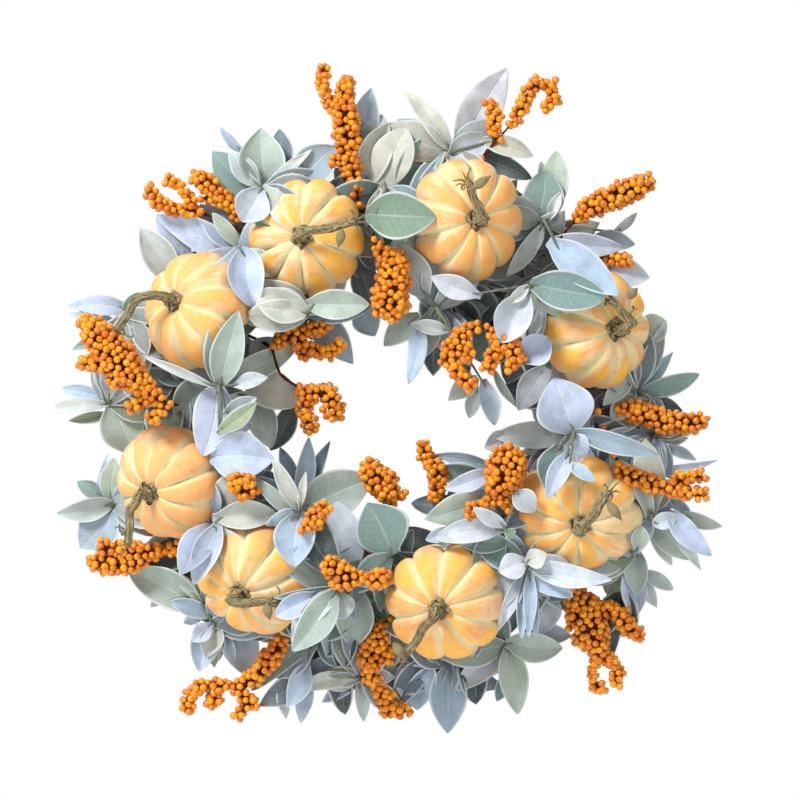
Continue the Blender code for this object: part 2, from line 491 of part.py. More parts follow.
class LayUp:
    """The face of the wreath as a fine grid that knows how high it is filled."""

    CELL = 0.001
    SIZE = 640

    def __init__(self):
        self.top = np.zeros((self.SIZE, self.SIZE))
        self.pending = {}

    def cells(self, points):
        """Grid cell of each point."""
        return np.floor(points[:, :2] / self.CELL).astype(int) + self.SIZE // 2

    def samples(self, mesh, matrix=None):
        """Points spread over the mesh's faces, closer together than a cell."""
        if matrix is None:
            matrix = Matrix.Identity(4)
        places = np.array([matrix @ vertex.co for vertex in mesh.vertices])
        mesh.calc_loop_triangles()
        found = [places]
        for triangle in mesh.loop_triangles:
            a, b, c = (places[index] for index in triangle.vertices)
            longest = max(np.linalg.norm(b - a), np.linalg.norm(c - b), np.linalg.norm(a - c))
            count = int(longest / (0.8 * self.CELL)) + 2
            s, t = np.meshgrid(np.linspace(0, 1, count), np.linspace(0, 1, count))
            s, t = s.ravel(), t.ravel()
            inside = s + t <= 1.0001
            s, t = s[inside][:, None], t[inside][:, None]
            found.append(a + s * (b - a) + t * (c - a))
        return np.vstack(found)

    def lift(self, points):
        """How far the points must rise to clear everything laid so far."""
        cells = self.cells(points)
        low_corner = cells.min(axis=0) - 1
        high_corner = cells.max(axis=0) + 2
        shape = tuple(high_corner - low_corner)
        underside = np.full(shape, np.inf)
        np.minimum.at(underside, tuple((cells - low_corner).T), points[:, 2])
        window = self.top[low_corner[0] - 1:high_corner[0] + 1, low_corner[1] - 1:high_corner[1] + 1]
        laid = np.max([window[i:i + shape[0], j:j + shape[1]] for i in range(3) for j in range(3)],
                      axis=0)
        covered = np.isfinite(underside)
        return float((laid[covered] - underside[covered]).max()) + CLEARANCE

    def lay(self, points):
        """Fill the grid up to the points."""
        np.maximum.at(self.top, tuple(self.cells(points).T), points[:, 2])

    def risers_passed(self, owner, points):
        """Unfinished risers of other pieces that come through these points."""
        reach = RISER_RADIUS + SLIT_CLEARANCE
        passed = []
        for (name, spot) in self.pending:
            distance = np.hypot(points[:, 0] - spot[0], points[:, 1] - spot[1]).min()
            if name != owner and distance < reach:
                passed.append(spot)
        return passed


def slit(mesh, spots):
    """Cut the mesh clear of risers that stand at the spots."""
    cutters = []
    for spot in spots:
        place = Matrix.Translation((spot[0], spot[1], 0))
        cutters.append(cylinder(RISER_RADIUS + SLIT_CLEARANCE, -0.5, 0.5, place, 8))
    return combine(mesh, cutters, "DIFFERENCE")


def strand_path(index):
    """Centre line of one cane, twisted round the bundle, in face coordinates.

    The canes open at different places, and each has a point at the very top of the ring.
    """
    stride = (math.tau - STRAND_OPENING) / (STRAND_POINTS - 1)
    start = math.pi / 2 - stride * (8 + 4 * index)
    path = []
    for step in range(STRAND_POINTS):
        clock = start + stride * step
        phase = STRAND_TWISTS * (clock - math.pi / 2) + index * math.tau / STRAND_COUNT
        radius = RING_RADIUS + HELIX_RADIUS * math.cos(phase)
        height = CENTRE_HEIGHT - HELIX_RADIUS * math.sin(phase)
        path.append((radius * math.cos(clock), radius * math.sin(clock), height))
    return path


def make_strands(layup):
    """The four canes of the ring."""
    for index in range(STRAND_COUNT):
        path = strand_path(index)
        mesh = tube(path, [STRAND_RADIUS] * len(path))
        layup.lay(layup.samples(mesh))
        add_piece(f"vine_strand_{index + 1}", mesh, "vine", FACE_TO_WORLD)


def make_ties(layup):
    """Wire ties round the bundle of canes."""
    for index, clock in enumerate(TIE_CLOCK):
        angle = math.radians(clock)
        centre = Vector((RING_RADIUS * math.cos(angle), RING_RADIUS * math.sin(angle), CENTRE_HEIGHT))
        turn = Matrix.Rotation(angle, 4, "Z") @ Matrix.Rotation(math.pi / 2, 4, "X")
        place = Matrix.Translation(centre) @ turn
        mesh = ring_torus(TIE_RADIUS, TIE_WIRE_RADIUS, TIE_SIDES, 5)
        layup.lay(layup.samples(mesh, place))
        add_piece(f"binding_tie_{index + 1}", mesh, "wire", FACE_TO_WORLD @ place)


def make_hanging_loop(layup):
    """The wire loop that swings on the top cane; its origin is on that cane's axis."""
    eye = ring_torus(EYE_RADIUS, LOOP_WIRE_RADIUS, 12, 6)
    eye.transform(Matrix.Rotation(math.pi / 2, 4, "Y"))
    loop = ring_torus(LOOP_RADIUS, LOOP_WIRE_RADIUS, 14, 6)
    loop.transform(Matrix.Translation((0, 0, LOOP_CENTRE)) @ Matrix.Rotation(math.pi / 2, 4, "X"))
    neck = cylinder(1.4 * LOOP_WIRE_RADIUS, EYE_RADIUS, EYE_RADIUS + LOOP_NECK, Matrix.Identity(4), 8)
    mesh = combine(eye, [neck, loop], "UNION")
    pivot = Matrix.Translation((0, 0, -DROP + RING_RADIUS + HELIX_RADIUS))
    layup.lay(layup.samples(mesh, FACE_TO_WORLD.inverted() @ pivot))
    add_piece("hanging_loop", mesh, "wire", pivot)


def foot_arc(start, end):
    """Points along the ring from one clock angle to another, in millimetres of the layout."""
    steps = max(2, int(abs(end - start) / math.radians(10)) + 1)
    angles = [start + (end - start) * step / steps for step in range(steps + 1)]
    return [Vector((math.cos(angle), math.sin(angle))) * RING_RADIUS for angle in angles]


def foot_meshes(risers):
    """A spur across the ring to each riser, and an arc along the ring between spurs."""
    meshes = []
    clocks = []
    across = BUNDLE_RADIUS + STRAND_RADIUS / 2
    for riser in risers:
        out = riser.normalized()
        clocks.append(math.atan2(riser.y, riser.x))
        near = min(RING_RADIUS - across, riser.length - 2 * RISER_RADIUS)
        far = max(RING_RADIUS + across, riser.length + 2 * RISER_RADIUS)
        path = [(*(out * near), 0), (*(out * riser.length), 0), (*(out * far), 0)]
        meshes.append(tube(path, [FOOT_RADIUS] * 3))
    if len(risers) == 2:
        arc = [(*point, 0) for point in foot_arc(*clocks)]
        meshes.append(tube(arc, [FOOT_RADIUS] * len(arc)))
    return meshes


def strip_mesh(stations, low):
    """A narrow grid laid over the stations, thickened upwards from low.

    A station is its place, the way across, half the width, its height and how far one side tips.
    """
    rows = len(stations) - 1
    bm = bmesh.new()
    bmesh.ops.create_grid(bm, x_segments=1, y_segments=rows, size=1)
    for vertex in bm.verts:
        place, across, half, height, tip_up = stations[round((vertex.co.y + 1) / 2 * rows)]
        edge = place + across * (half * vertex.co.x)
        vertex.co = (edge.x, edge.y, low + height + tip_up * vertex.co.x)
    bmesh.ops.triangulate(bm, faces=bm.faces[:])
    sheet = bmesh.ops.extrude_face_region(bm, geom=bm.faces[:])["geom"]
    raised = [element for element in sheet if isinstance(element, bmesh.types.BMVert)]
    bmesh.ops.translate(bm, verts=raised, vec=(0, 0, LEAF_THICKNESS))
    return mesh_from(bm, "strip")


def blade_meshes(riser, root, tip, width, layer, number):
    """A blade, and the stalk that brings it from its riser if it starts well away from it."""
    heading = (tip - root).normalized()
    side = Vector((-heading.y, heading.x))
    length = (tip - root).length
    cant = math.radians(BLADE_CANT) * math.sin(2.4 * number)
    rise = BLADE_RISE[layer] * length
    outline = SLIM_OUTLINE if width < 13 * MM else BROAD_OUTLINE
    meshes = []
    start = riser
    stalk = root - riser
    if stalk.length > STALK_FROM:
        start = root
        out = stalk.normalized()
        across = Vector((-out.y, out.x))
        ends = [(riser, across, STALK_WIDTH / 2, 0, 0),
                (root + out * STALK_WIDTH / 2, across, STALK_WIDTH / 2, 0, 0)]
        meshes.append(strip_mesh(ends, -LEAF_THICKNESS / 4))
    stations = [(start, side, 0.46 * STALK_WIDTH, 0, 0)]
    for along, share in outline:
        half = share * width * math.cos(cant)
        place = root + heading * (along * length)
        stations.append((place, side, half, rise * along, half * math.tan(cant)))
    meshes.append(strip_mesh(stations, 0))
    return meshes


def branch_meshes(branches):
    """The tapering tubes of a branched stem, all lying at one height."""
    tubes = []
    for branch in branches:
        path = [(*spread(across, up), 0) for across, up, _ in branch]
        tubes.append(tube(path, [radius * MM for _, _, radius in branch]))
    return tubes


def pumpkin_mesh(shape, bumps):
    """A ribbed pumpkin about its own Z axis, with the seat and the hole for its stem."""
    bm = bmesh.new()
    bmesh.ops.create_uvsphere(bm, u_segments=2 * PUMPKIN_LOBES, v_segments=8, radius=1)
    for vertex in bm.verts:
        x, y, z = vertex.co
        out = math.hypot(x, y)
        turn = math.atan2(y, x)
        groove = (1 - math.cos(PUMPKIN_LOBES * turn)) / 2 * GROOVE_DEPTH * min(1, 1.6 * out)
        wide = PUMPKIN_WIDTH / 2 - groove + bumps * math.cos(3 * turn)
        high = z * PUMPKIN_HEIGHT / 2 - math.copysign(POLE_DIP, z) * math.exp(-(out / 0.3) ** 2)
        vertex.co = (x * wide * shape[0], y * wide * shape[1], high)
    body = mesh_from(bm, "pumpkin")
    seat_radius = (STEM_FLARE_RADIUS + CLEARANCE) / math.cos(math.pi / 12)
    seat = cylinder(seat_radius, SEAT_HEIGHT, PUMPKIN_HEIGHT,
                    Matrix.Identity(4), 12)
    hole_radius = (PEG_RADIUS + CLEARANCE) / math.cos(math.pi / 8)
    hole = cylinder(hole_radius, SEAT_HEIGHT - PEG_LENGTH - CLEARANCE, SEAT_HEIGHT + CLEARANCE,
                    Matrix.Identity(4), 8)
    return combine(body, [seat, hole], "DIFFERENCE")


def stem_mesh(place, bends):
    """A dried stem in face coordinates: its peg, its flare and the shaft through its bends."""
    axis = (place.to_3x3() @ Vector((0, 0, 1))).normalized()
    base = place @ Vector((0, 0, SEAT_HEIGHT + CLEARANCE))
    path = [base, base + axis * 0.003, base + axis * 0.009, base + axis * 0.016]
    above = path[-1].z
    for step, (across, up) in enumerate(bends):
        flat = spread(across, up)
        path.append(Vector((flat.x, flat.y, above + 0.004 + 0.002 * step)))
    shares = (STEM_FLARE_RADIUS / STEM_SHAFT_RADIUS, 1.55, 1.15, 1.0, 0.95, 1.05)
    shaft = tube(path, [share * STEM_SHAFT_RADIUS for share in shares], fineness=2)
    peg = cylinder(PEG_RADIUS, SEAT_HEIGHT + CLEARANCE - PEG_LENGTH,
                   SEAT_HEIGHT + CLEARANCE + PEG_RADIUS, place, 8)
    return combine(shaft, [peg], "UNION")


def make_pumpkin(layup, number, row):
    """Lay one pumpkin with its stem."""
    (across, up), shape, (lean_across, lean_up), bends = row
    lean = Vector((lean_across, lean_up)) * MM
    tilt = math.asin(lean.length / (SEAT_HEIGHT + 0.006))
    hinge = Vector((-lean.y, lean.x, 0))
    middle = spread(across, up)
    flat = Matrix.Translation((middle.x, middle.y, 0)) @ Matrix.Rotation(tilt, 4, hinge)
    body = pumpkin_mesh(shape, 0.0006 * math.sin(number))
    height = layup.lift(layup.samples(body, flat))
    place = Matrix.Translation((0, 0, height)) @ flat
    stem = stem_mesh(place, bends)
    layup.lay(layup.samples(body, place))
    layup.lay(layup.samples(stem))
    add_piece(f"pumpkin_{number}", body, "pumpkin", FACE_TO_WORLD @ place, smooth=60)
    add_piece(f"pumpkin_stem_{number}", stem, "dried_stem", FACE_TO_WORLD)


class Carrier:
    """A spray or a pick while it is being laid: its foot, its risers and what they carry."""

    def __init__(self, layup, name, finish, risers):
        self.layup = layup
        self.name = name
        self.finish = finish
        self.risers = risers
        self.left = {tuple(riser): 0 for riser in risers}
        self.tops = {}
        self.meshes = foot_meshes(risers)
        points = np.vstack([layup.samples(mesh) for mesh in self.meshes])
        self.foot_height = layup.lift(points)
        for mesh in self.meshes:
            mesh.transform(Matrix.Translation((0, 0, self.foot_height)))
        layup.lay(points + (0, 0, self.foot_height))
        for riser in risers:
            layup.pending[(name, tuple(riser))] = True

    def carry(self, riser, meshes):
        """Lay one blade or stem as low as it goes, slit where a foreign riser comes through."""
        spot = tuple(riser)
        points = np.vstack([self.layup.samples(mesh) for mesh in meshes])
        height = self.layup.lift(points)
        foreign = self.layup.risers_passed(self.name, points)
        for mesh in meshes:
            mesh.transform(Matrix.Translation((0, 0, height)))
            self.meshes.append(slit(mesh, foreign))
        self.layup.lay(points + (0, 0, height))
        near = np.hypot(points[:, 0] - spot[0], points[:, 1] - spot[1]) < 2 * RISER_RADIUS
        self.tops[spot] = max(self.tops.get(spot, 0), height + points[near][:, 2].max())
        self.left[spot] -= 1
        if self.left[spot] == 0:
            self.raise_riser(spot)

    def raise_riser(self, spot):
        """Stand the riser on the foot and end it just above the last thing that it carries."""
        place = Matrix.Translation((spot[0], spot[1], 0))
        top = self.tops[spot] + LEAF_THICKNESS
        riser = cylinder(RISER_RADIUS, self.foot_height, top, place, 4)
        self.layup.lay(self.layup.samples(riser))
        self.meshes.append(riser)
        del self.layup.pending[(self.name, spot)]

    def finish_piece(self):
        """Join everything into one solid."""
        mesh = combine(self.meshes[0], self.meshes[1:], "UNION")
        add_piece(self.name, mesh, self.finish, FACE_TO_WORLD)


def plan_dressing(layup):
    """Set down every foot, and list what is to be laid as (layer, number, action)."""
    carriers = []
    jobs = []
    for name, whorls in SPRAYS.items():
        risers = [spread(*spot) for spot, _ in whorls]
        carrier = Carrier(layup, name, "felt_leaf", risers)
        carriers.append(carrier)
        for riser, (_, blades) in zip(risers, whorls):
            carrier.left[tuple(riser)] = len(blades)
            for root, tip, width, layer in blades:
                number = len(jobs)
                place = (riser, spread(*root), spread(*tip))
                blade = blade_meshes(*place, width * MM, layer, number)
                jobs.append((layer, number, carrier.carry, (riser, blade)))
    for name, (spot, stems) in PICKS.items():
        riser = spread(*spot)
        carrier = Carrier(layup, name, "berry", [riser])
        carriers.append(carrier)
        carrier.left[tuple(riser)] = len(stems)
        for layer, branches in stems:
            jobs.append((layer, len(jobs), carrier.carry, (riser, branch_meshes(branches))))
    for index, row in enumerate(PUMPKINS):
        jobs.append((GOURDS, len(jobs), make_pumpkin, (layup, index + 1, row)))
    return carriers, jobs


def build_wreath():
    """Build the ring, then lay the dressing on it."""
    layup = LayUp()
    make_strands(layup)
    make_ties(layup)
    make_hanging_loop(layup)
    carriers, jobs = plan_dressing(layup)
    for _, _, action, arguments in sorted(jobs, key=lambda job: job[:2]):
        action(*arguments)
    for carrier in carriers:
        carrier.finish_piece()


clear_scene()
PARTS = make_collection("harvest_door_wreath")
TOOLS = make_collection("cutters")
build_wreath()
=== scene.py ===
"""The harvest door wreath as it looks: felt leaves, painted pumpkins, berry picks and a vine ring.

Face coordinates, in millimetres, are across and up in the plane of the ring from its centre, and
height above the back of the ring towards the viewer. The world's +X is across, +Z is up and -Y is
towards the viewer.
"""
import logging
import math
import random
from dataclasses import dataclass, field
from enum import Enum
from typing import Callable, Iterable, Optional, Sequence

import bmesh
import bpy
import numpy as np
from mathutils import Matrix, Vector, noise
from mathutils.bvhtree import BVHTree

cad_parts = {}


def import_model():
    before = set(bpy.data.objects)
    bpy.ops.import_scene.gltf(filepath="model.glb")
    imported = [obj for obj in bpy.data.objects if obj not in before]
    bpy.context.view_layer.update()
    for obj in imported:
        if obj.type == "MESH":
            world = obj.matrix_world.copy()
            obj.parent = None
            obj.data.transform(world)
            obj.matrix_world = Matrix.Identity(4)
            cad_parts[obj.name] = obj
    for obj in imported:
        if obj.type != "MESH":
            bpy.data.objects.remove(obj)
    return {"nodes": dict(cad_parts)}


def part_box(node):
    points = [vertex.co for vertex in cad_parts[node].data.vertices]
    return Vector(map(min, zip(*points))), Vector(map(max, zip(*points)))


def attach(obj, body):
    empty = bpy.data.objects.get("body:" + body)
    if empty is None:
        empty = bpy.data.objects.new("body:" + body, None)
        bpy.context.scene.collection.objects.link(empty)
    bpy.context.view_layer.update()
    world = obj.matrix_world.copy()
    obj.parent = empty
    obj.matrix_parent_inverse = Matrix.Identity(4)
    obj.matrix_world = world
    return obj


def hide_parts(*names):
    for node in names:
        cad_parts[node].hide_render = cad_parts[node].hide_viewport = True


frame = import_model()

LOG = logging.getLogger("wreath")
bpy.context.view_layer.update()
MM = 0.001

RING_RADIUS = 0.150
STRAND_RADIUS = 0.004
STRAND_POINTS = 28
STRAND_STRIDE = math.radians(354) / (STRAND_POINTS - 1)
WIRE_RADIUS = 0.0012
HELIX_RADIUS = (2 * STRAND_RADIUS + 0.0040) / math.sqrt(2)
TIE_RADIUS = (HELIX_RADIUS + STRAND_RADIUS + 0.0013) / math.cos(math.pi / 12)
CENTRE_HEIGHT = TIE_RADIUS + 0.0010
EYE_RADIUS = 0.006
LOOP_RADIUS = 0.011
LOOP_CENTRE = EYE_RADIUS + 0.006 + LOOP_RADIUS
DROP = RING_RADIUS + HELIX_RADIUS + LOOP_CENTRE + LOOP_RADIUS - WIRE_RADIUS
PIVOT = Vector((0, 0, -DROP + RING_RADIUS + HELIX_RADIUS))
FELT_THICKNESS = 0.0009
PUMPKIN_WIDTH = 0.086
PUMPKIN_HEIGHT = 0.066
SEAT_HEIGHT = 0.36 * PUMPKIN_HEIGHT
TIE_CLOCK = (28, 152, 268)
BLADE_CANT = math.radians(16.0)


class Layer(Enum):
    """How far forward a blade lies, and how much its tip lifts, as a share of its length."""

    UNDER = -0.10
    REAR = -0.04
    MIDDLE = 0.04
    FRONT = 0.10
    TOP = 0.12


class Tone(Enum):
    """Colours of the felt, as screen red, green and blue; the darkest is painted shade for leaves that lie
    under the others.
    """

    SAGE = (172, 188, 176)
    MIST = (189, 201, 201)
    TEAL = (123, 153, 148)
    # Painted shade: the darkest tone, for leaves under or behind the others and for the gap leaves.
    SHADED_FELT = (70, 91, 93)
    BLUE = (155, 177, 195)
    SKY = (178, 198, 220)
    SLATE = (112, 131, 146)
    PERIWINKLE = (189, 202, 229)
    LAVENDER = (201, 209, 220)
    TAUPE = (199, 200, 188)
    PEARL = (216, 223, 219)
    OLIVE = (155, 166, 129)
    FERN = (123, 149, 127)


U, R, M, F, T = Layer.UNDER, Layer.REAR, Layer.MIDDLE, Layer.FRONT, Layer.TOP
SAG, MIS, TEA, SPR, BLU, SKY, SLA = (Tone.SAGE, Tone.MIST, Tone.TEAL, Tone.SHADED_FELT, Tone.BLUE,
                                     Tone.SKY, Tone.SLATE)
PER, LAV, TAU, PEA, OLI, FER = (Tone.PERIWINKLE, Tone.LAVENDER, Tone.TAUPE, Tone.PEARL,
                                Tone.OLIVE, Tone.FERN)

# For each spray its whorls: the riser, then blades as root, tip, width, layer and tone
SPRAYS = {
    "leaf_spray_upper_left": [
        ((-107, 113), [
            (-150, 112, -170, 140, 18, U, PER), (-160, 96, -182, 129, 22, U, MIS),
            (-115, 108, -168, 138, 22, R, PER), (-106, 120, -137, 146, 24, R, BLU),
            (-109, 117, -128, 140, 10, M, SAG), (-103, 107, -97, 71, 24, F, PER)]),
        ((-91, 158), [
            (-108, 188, -123, 205, 7, U, SKY), (-76, 178, -79, 203, 16, U, SLA),
            (-89, 164, -93, 203, 31, R, SAG), (-100, 158, -128, 186, 27, R, TEA),
            (-62, 165, -38, 190, 28, R, BLU), (-97, 164, -116, 186, 16, M, MIS),
            (-84, 164, -56, 187, 8, M, PEA), (-93, 155, -105, 134, 24, F, LAV)])],
    "leaf_spray_top": [
        ((1, 158), [
            (-17, 193, -11, 233, 20, U, BLU), (-8, 190, -3, 214, 20, R, SAG),
            (-14, 168, 7, 208, 22, R, TAU), (15, 156, 43, 200, 27, R, TEA),
            (0, 164, 15, 203, 28, M, TAU), (-5, 156, -14, 131, 9, F, TAU),
            (-6, 138, 36, 136, 32, T, FER)]),
        ((48, 186), [
            (38, 198, 10, 211, 14, U, BLU), (60, 196, 90, 248, 28, U, LAV),
            (66, 184, 108, 168, 16, U, SPR), (45, 194, 16, 231, 14, R, TAU),
            (52, 184, 76, 198, 20, R, LAV), (78, 194, 109, 184, 14, R, TAU)])],
    "leaf_spray_upper_right": [
        ((117, 134), [
            (119, 156, 117, 179, 9, U, MIS), (128, 150, 128, 186, 18, U, SAG),
            (160, 122, 186, 118, 14, U, BLU), (172, 127, 188, 141, 6, U, MIS),
            (114, 138, 120, 171, 28, R, TEA), (131, 123, 157, 129, 10, R, SAG),
            (168, 100, 196, 93, 20, R, LAV), (123, 138, 131, 156, 8, M, PEA),
            (130, 119, 175, 115, 16, M, PER), (115, 128, 92, 95, 12, F, MIS),
            (128, 113, 170, 80, 24, F, SKY)])],
    "leaf_spray_inner_right": [
        ((107, 86), [
            (100, 86, 54, 72, 24, M, SAG), (66, 80, 35, 92, 16, M, LAV),
            (108, 68, 98, 46, 24, M, LAV), (104, 33, 120, 47, 22, M, PER),
            (102, 76, 86, 45, 24, F, LAV), (112, 86, 160, 77, 26, F, TEA),
            (104, 84, 91, 73, 8, T, PEA)])],
    "leaf_spray_inner_top": [
        ((38, 70), [
            (22, 62, 0, 43, 18, R, SAG), (66, 16, 48, 2, 14, R, TAU),
            (69, 8, 63, -11, 10, R, MIS), (82, 22, 98, -3, 6, R, SAG),
            (27, 84, 9, 117, 24, M, MIS), (25, 54, 18, 15, 13, M, SKY),
            (44, 53, 20, 58, 10, M, MIS), (74, 12, 81, -16, 14, M, SKY)]),
        ((-57, 66), [
            (-18, 68, -8, 50, 20, M, BLU), (-50, 60, -25, 30, 22, M, BLU),
            (-60, 66, -95, 80, 22, F, TAU), (-52, 72, -13, 72, 20, F, SAG)])],
    "leaf_spray_right": [
        ((186, 8), [
            (194, 52, 210, 60, 20, U, SAG), (200, 0, 222, -7, 12, U, SPR),
            (187, 14, 208, 57, 14, R, MIS), (192, 12, 214, 36, 10, M, BLU),
            (196, 8, 233, 20, 14, M, TEA), (181, 14, 163, -2, 12, F, SAG)]),
        ((200, -26), [
            (206, -52, 247, -44, 7, U, SKY), (189, -16, 191, -36, 9, R, BLU),
            (210, -28, 226, -27, 8, R, SAG), (210, -34, 232, -43, 8, R, BLU),
            (203, -28, 209, -50, 9, M, SKY), (205, -22, 220, -22, 8, M, LAV)])],
    "leaf_spray_right_gap": [
        ((139, -22), [
            (150, -18, 192, -31, 22, R, SPR), (92, -27, 75, -34, 16, R, LAV),
            (118, 22, 100, -5, 20, M, LAV), (133, -25, 82, -25, 18, M, MIS),
            (127, -36, 119, -63, 20, M, TEA), (137, -17, 125, 16, 40, F, PER),
            (144, -23, 199, -38, 14, F, BLU), (140, -26, 148, -38, 13, F, PER),
            (133, -42, 120, -70, 14, T, PER), (136, -46, 154, -58, 9, T, SKY)])],
    "leaf_spray_lower_right": [
        ((197, -84), [
            (212, -74, 228, -82, 8, U, BLU), (224, -85, 251, -93, 10, U, SAG),
            (200, -100, 214, -121, 8, U, TAU), (198, -78, 214, -78, 18, R, SLA),
            (212, -90, 235, -124, 10, R, PEA), (201, -92, 228, -117, 20, R, SAG),
            (196, -80, 190, -62, 10, M, TAU), (214, -86, 241, -113, 16, M, PER),
            (201, -90, 216, -84, 12, M, LAV)]),
        ((184, -112), [
            (194, -128, 215, -140, 10, U, MIS), (190, -132, 203, -153, 10, U, MIS),
            (181, -117, 166, -142, 20, R, OLI), (182, -126, 187, -160, 18, R, PER),
            (188, -114, 188, -142, 16, M, SAG), (187, -108, 190, -92, 12, M, SAG)])],
    "leaf_spray_lower_gap": [
        ((104, -122), [
            (99, -148, 93, -173, 10, R, TEA), (101, -128, 95, -146, 10, R, MIS),
            (117, -146, 117, -173, 26, M, LAV), (103, -127, 84, -168, 10, F, LAV),
            (105, -130, 101, -173, 8, F, BLU), (110, -134, 112, -172, 8, F, BLU),
            (110, -132, 138, -143, 13, F, SKY), (108, -121, 165, -131, 16, F, LAV),
            (107, -131, 106, -172, 9, T, SKY), (102, -118, 85, -125, 18, T, LAV),
            (106, -117, 119, -112, 14, T, PEA)])],
    "leaf_spray_bottom_right": [
        ((90, -182), [
            (91, -204, 84, -223, 10, R, TEA), (106, -172, 138, -175, 15, R, BLU),
            (84, -180, 60, -202, 12, R, FER), (88, -186, 54, -214, 18, M, LAV),
            (93, -188, 99, -231, 20, M, SAG), (94, -180, 131, -184, 20, M, SAG)]),
        ((46, -196), [
            (24, -192, 24, -229, 28, R, BLU), (47, -200, 47, -246, 26, R, BLU)])],
    "leaf_spray_inner_lower_right": [
        ((88, -94), [
            (50, -78, 21, -76, 16, R, SLA), (76, -48, 38, -40, 9, R, BLU),
            (88, -104, 55, -104, 15, M, TEA), (46, -95, 31, -102, 10, M, SKY),
            (72, -74, 31, -86, 22, M, SAG), (74, -54, 46, -64, 13, M, PER),
            (82, -94, 39, -100, 16, F, LAV), (98, -68, 110, -80, 16, F, LAV),
            (86, -90, 66, -78, 10, T, LAV), (90, -95, 95, -99, 8, T, FER)])],
    "leaf_spray_bottom": [
        ((-18, -206), [
            (-12, -208, -8, -226, 11, U, SAG), (-22, -210, -46, -224, 10, R, SKY),
            (-19, -212, -16, -238, 10, R, MIS), (-22, -202, -38, -202, 10, M, SLA),
            (-26, -206, -66, -214, 12, M, TAU)]),
        ((-52, -178), [
            (-51, -184, -65, -210, 16, U, SPR), (-58, -214, -63, -239, 12, U, SKY),
            (-76, -212, -74, -236, 10, U, MIS), (-56, -181, -98, -214, 12, R, TEA),
            (-60, -200, -72, -227, 16, M, SKY)])],
    "leaf_spray_lower_left_gap": [
        ((-36, -138), [
            (-34, -148, -38, -197, 20, M, BLU), (-20, -144, -24, -182, 26, M, SAG),
            (-33, -128, -35, -76, 30, F, LAV), (-42, -137, -80, -143, 8, F, TEA),
            (-54, -143, -79, -156, 16, F, PER), (-33, -142, -30, -158, 18, F, MIS),
            (-40, -141, -65, -166, 14, F, LAV), (-39, -143, -66, -180, 22, T, SAG)])],
    "leaf_spray_lower_left": [
        ((-128, -165), [
            (-112, -172, -103, -204, 25, U, SKY), (-163, -142, -175, -153, 9, U, MIS),
            (-138, -160, -150, -165, 8, R, LAV), (-130, -168, -139, -200, 20, R, SKY),
            (-119, -174, -113, -192, 8, R, BLU), (-142, -150, -190, -127, 26, R, SAG),
            (-133, -158, -159, -149, 12, M, BLU), (-126, -170, -133, -190, 16, M, TAU),
            (-140, -146, -160, -126, 8, M, SAG), (-131, -167, -143, -178, 13, F, PER)])],
    "leaf_spray_left_low": [
        ((-128, -91), [
            (-158, -103, -178, -106, 10, U, BLU), (-120, -85, -80, -83, 19, M, TAU),
            (-124, -94, -140, -133, 18, F, PER)]),
        ((-203, -76), [
            (-214, -70, -208, -40, 10, U, PER), (-212, -70, -230, -60, 12, U, TEA),
            (-205, -70, -203, -43, 16, R, SAG), (-210, -82, -226, -88, 8, R, MIS),
            (-205, -82, -226, -108, 28, R, BLU), (-208, -77, -243, -83, 16, M, MIS)])],
    "leaf_spray_left": [
        ((-206, 0), [
            (-210, -10, -236, -14, 8, U, OLI), (-212, 4, -242, 10, 10, U, SKY),
            (-202, -6, -187, -38, 30, R, SAG), (-211, -2, -251, -6, 10, R, PEA),
            (-211, 6, -218, 26, 10, R, MIS), (-206, 4, -205, 19, 8, M, TAU)]),
        ((-193, 66), [
            (-206, 60, -235, 66, 10, U, MIS), (-206, 54, -233, 40, 10, U, SAG),
            (-198, 71, -236, 72, 14, R, PER), (-191, 68, -183, 81, 14, R, FER)])],
    "leaf_spray_left_gap": [
        ((-122, 12), [
            (-98, 35, -85, 48, 14, R, LAV), (-70, -6, -85, -35, 16, R, SPR),
            (-132, 14, -155, -15, 26, M, SAG), (-118, -6, -100, 6, 14, M, PEA),
            (-98, 1, -85, -33, 20, M, SAG), (-98, 15, -63, 0, 26, M, TAU),
            (-112, 18, -67, 41, 18, M, SAG), (-124, 6, -133, -38, 28, F, PER),
            (-122, -40, -83, -42, 32, F, PER), (-116, -8, -95, 3, 10, F, LAV),
            (-108, 13, -87, 18, 11, F, LAV), (-120, 18, -108, 65, 22, F, SAG),
            (-132, 14, -178, 34, 6, F, PEA), (-119, -20, -95, -1, 12, T, OLI)])],
    "leaf_spray_inner_bottom": [
        ((-63, -80), [
            (-66, -58, -78, -35, 10, R, SLA), (-59, -72, -42, -31, 11, R, SLA),
            (-68, -76, -92, -52, 20, R, SPR), (-62, -66, -57, -28, 13, M, BLU),
            (-56, -76, -12, -57, 32, M, SAG), (-68, -82, -96, -56, 10, F, SAG),
            (-64, -86, -67, -120, 27, F, SKY), (-65, -75, -81, -43, 11, T, TAU),
            (-62, -75, -58, -52, 6, T, TAU)]),
        ((4, -114), [(4, -108, -12, -76, 38, F, TEA)])],
}
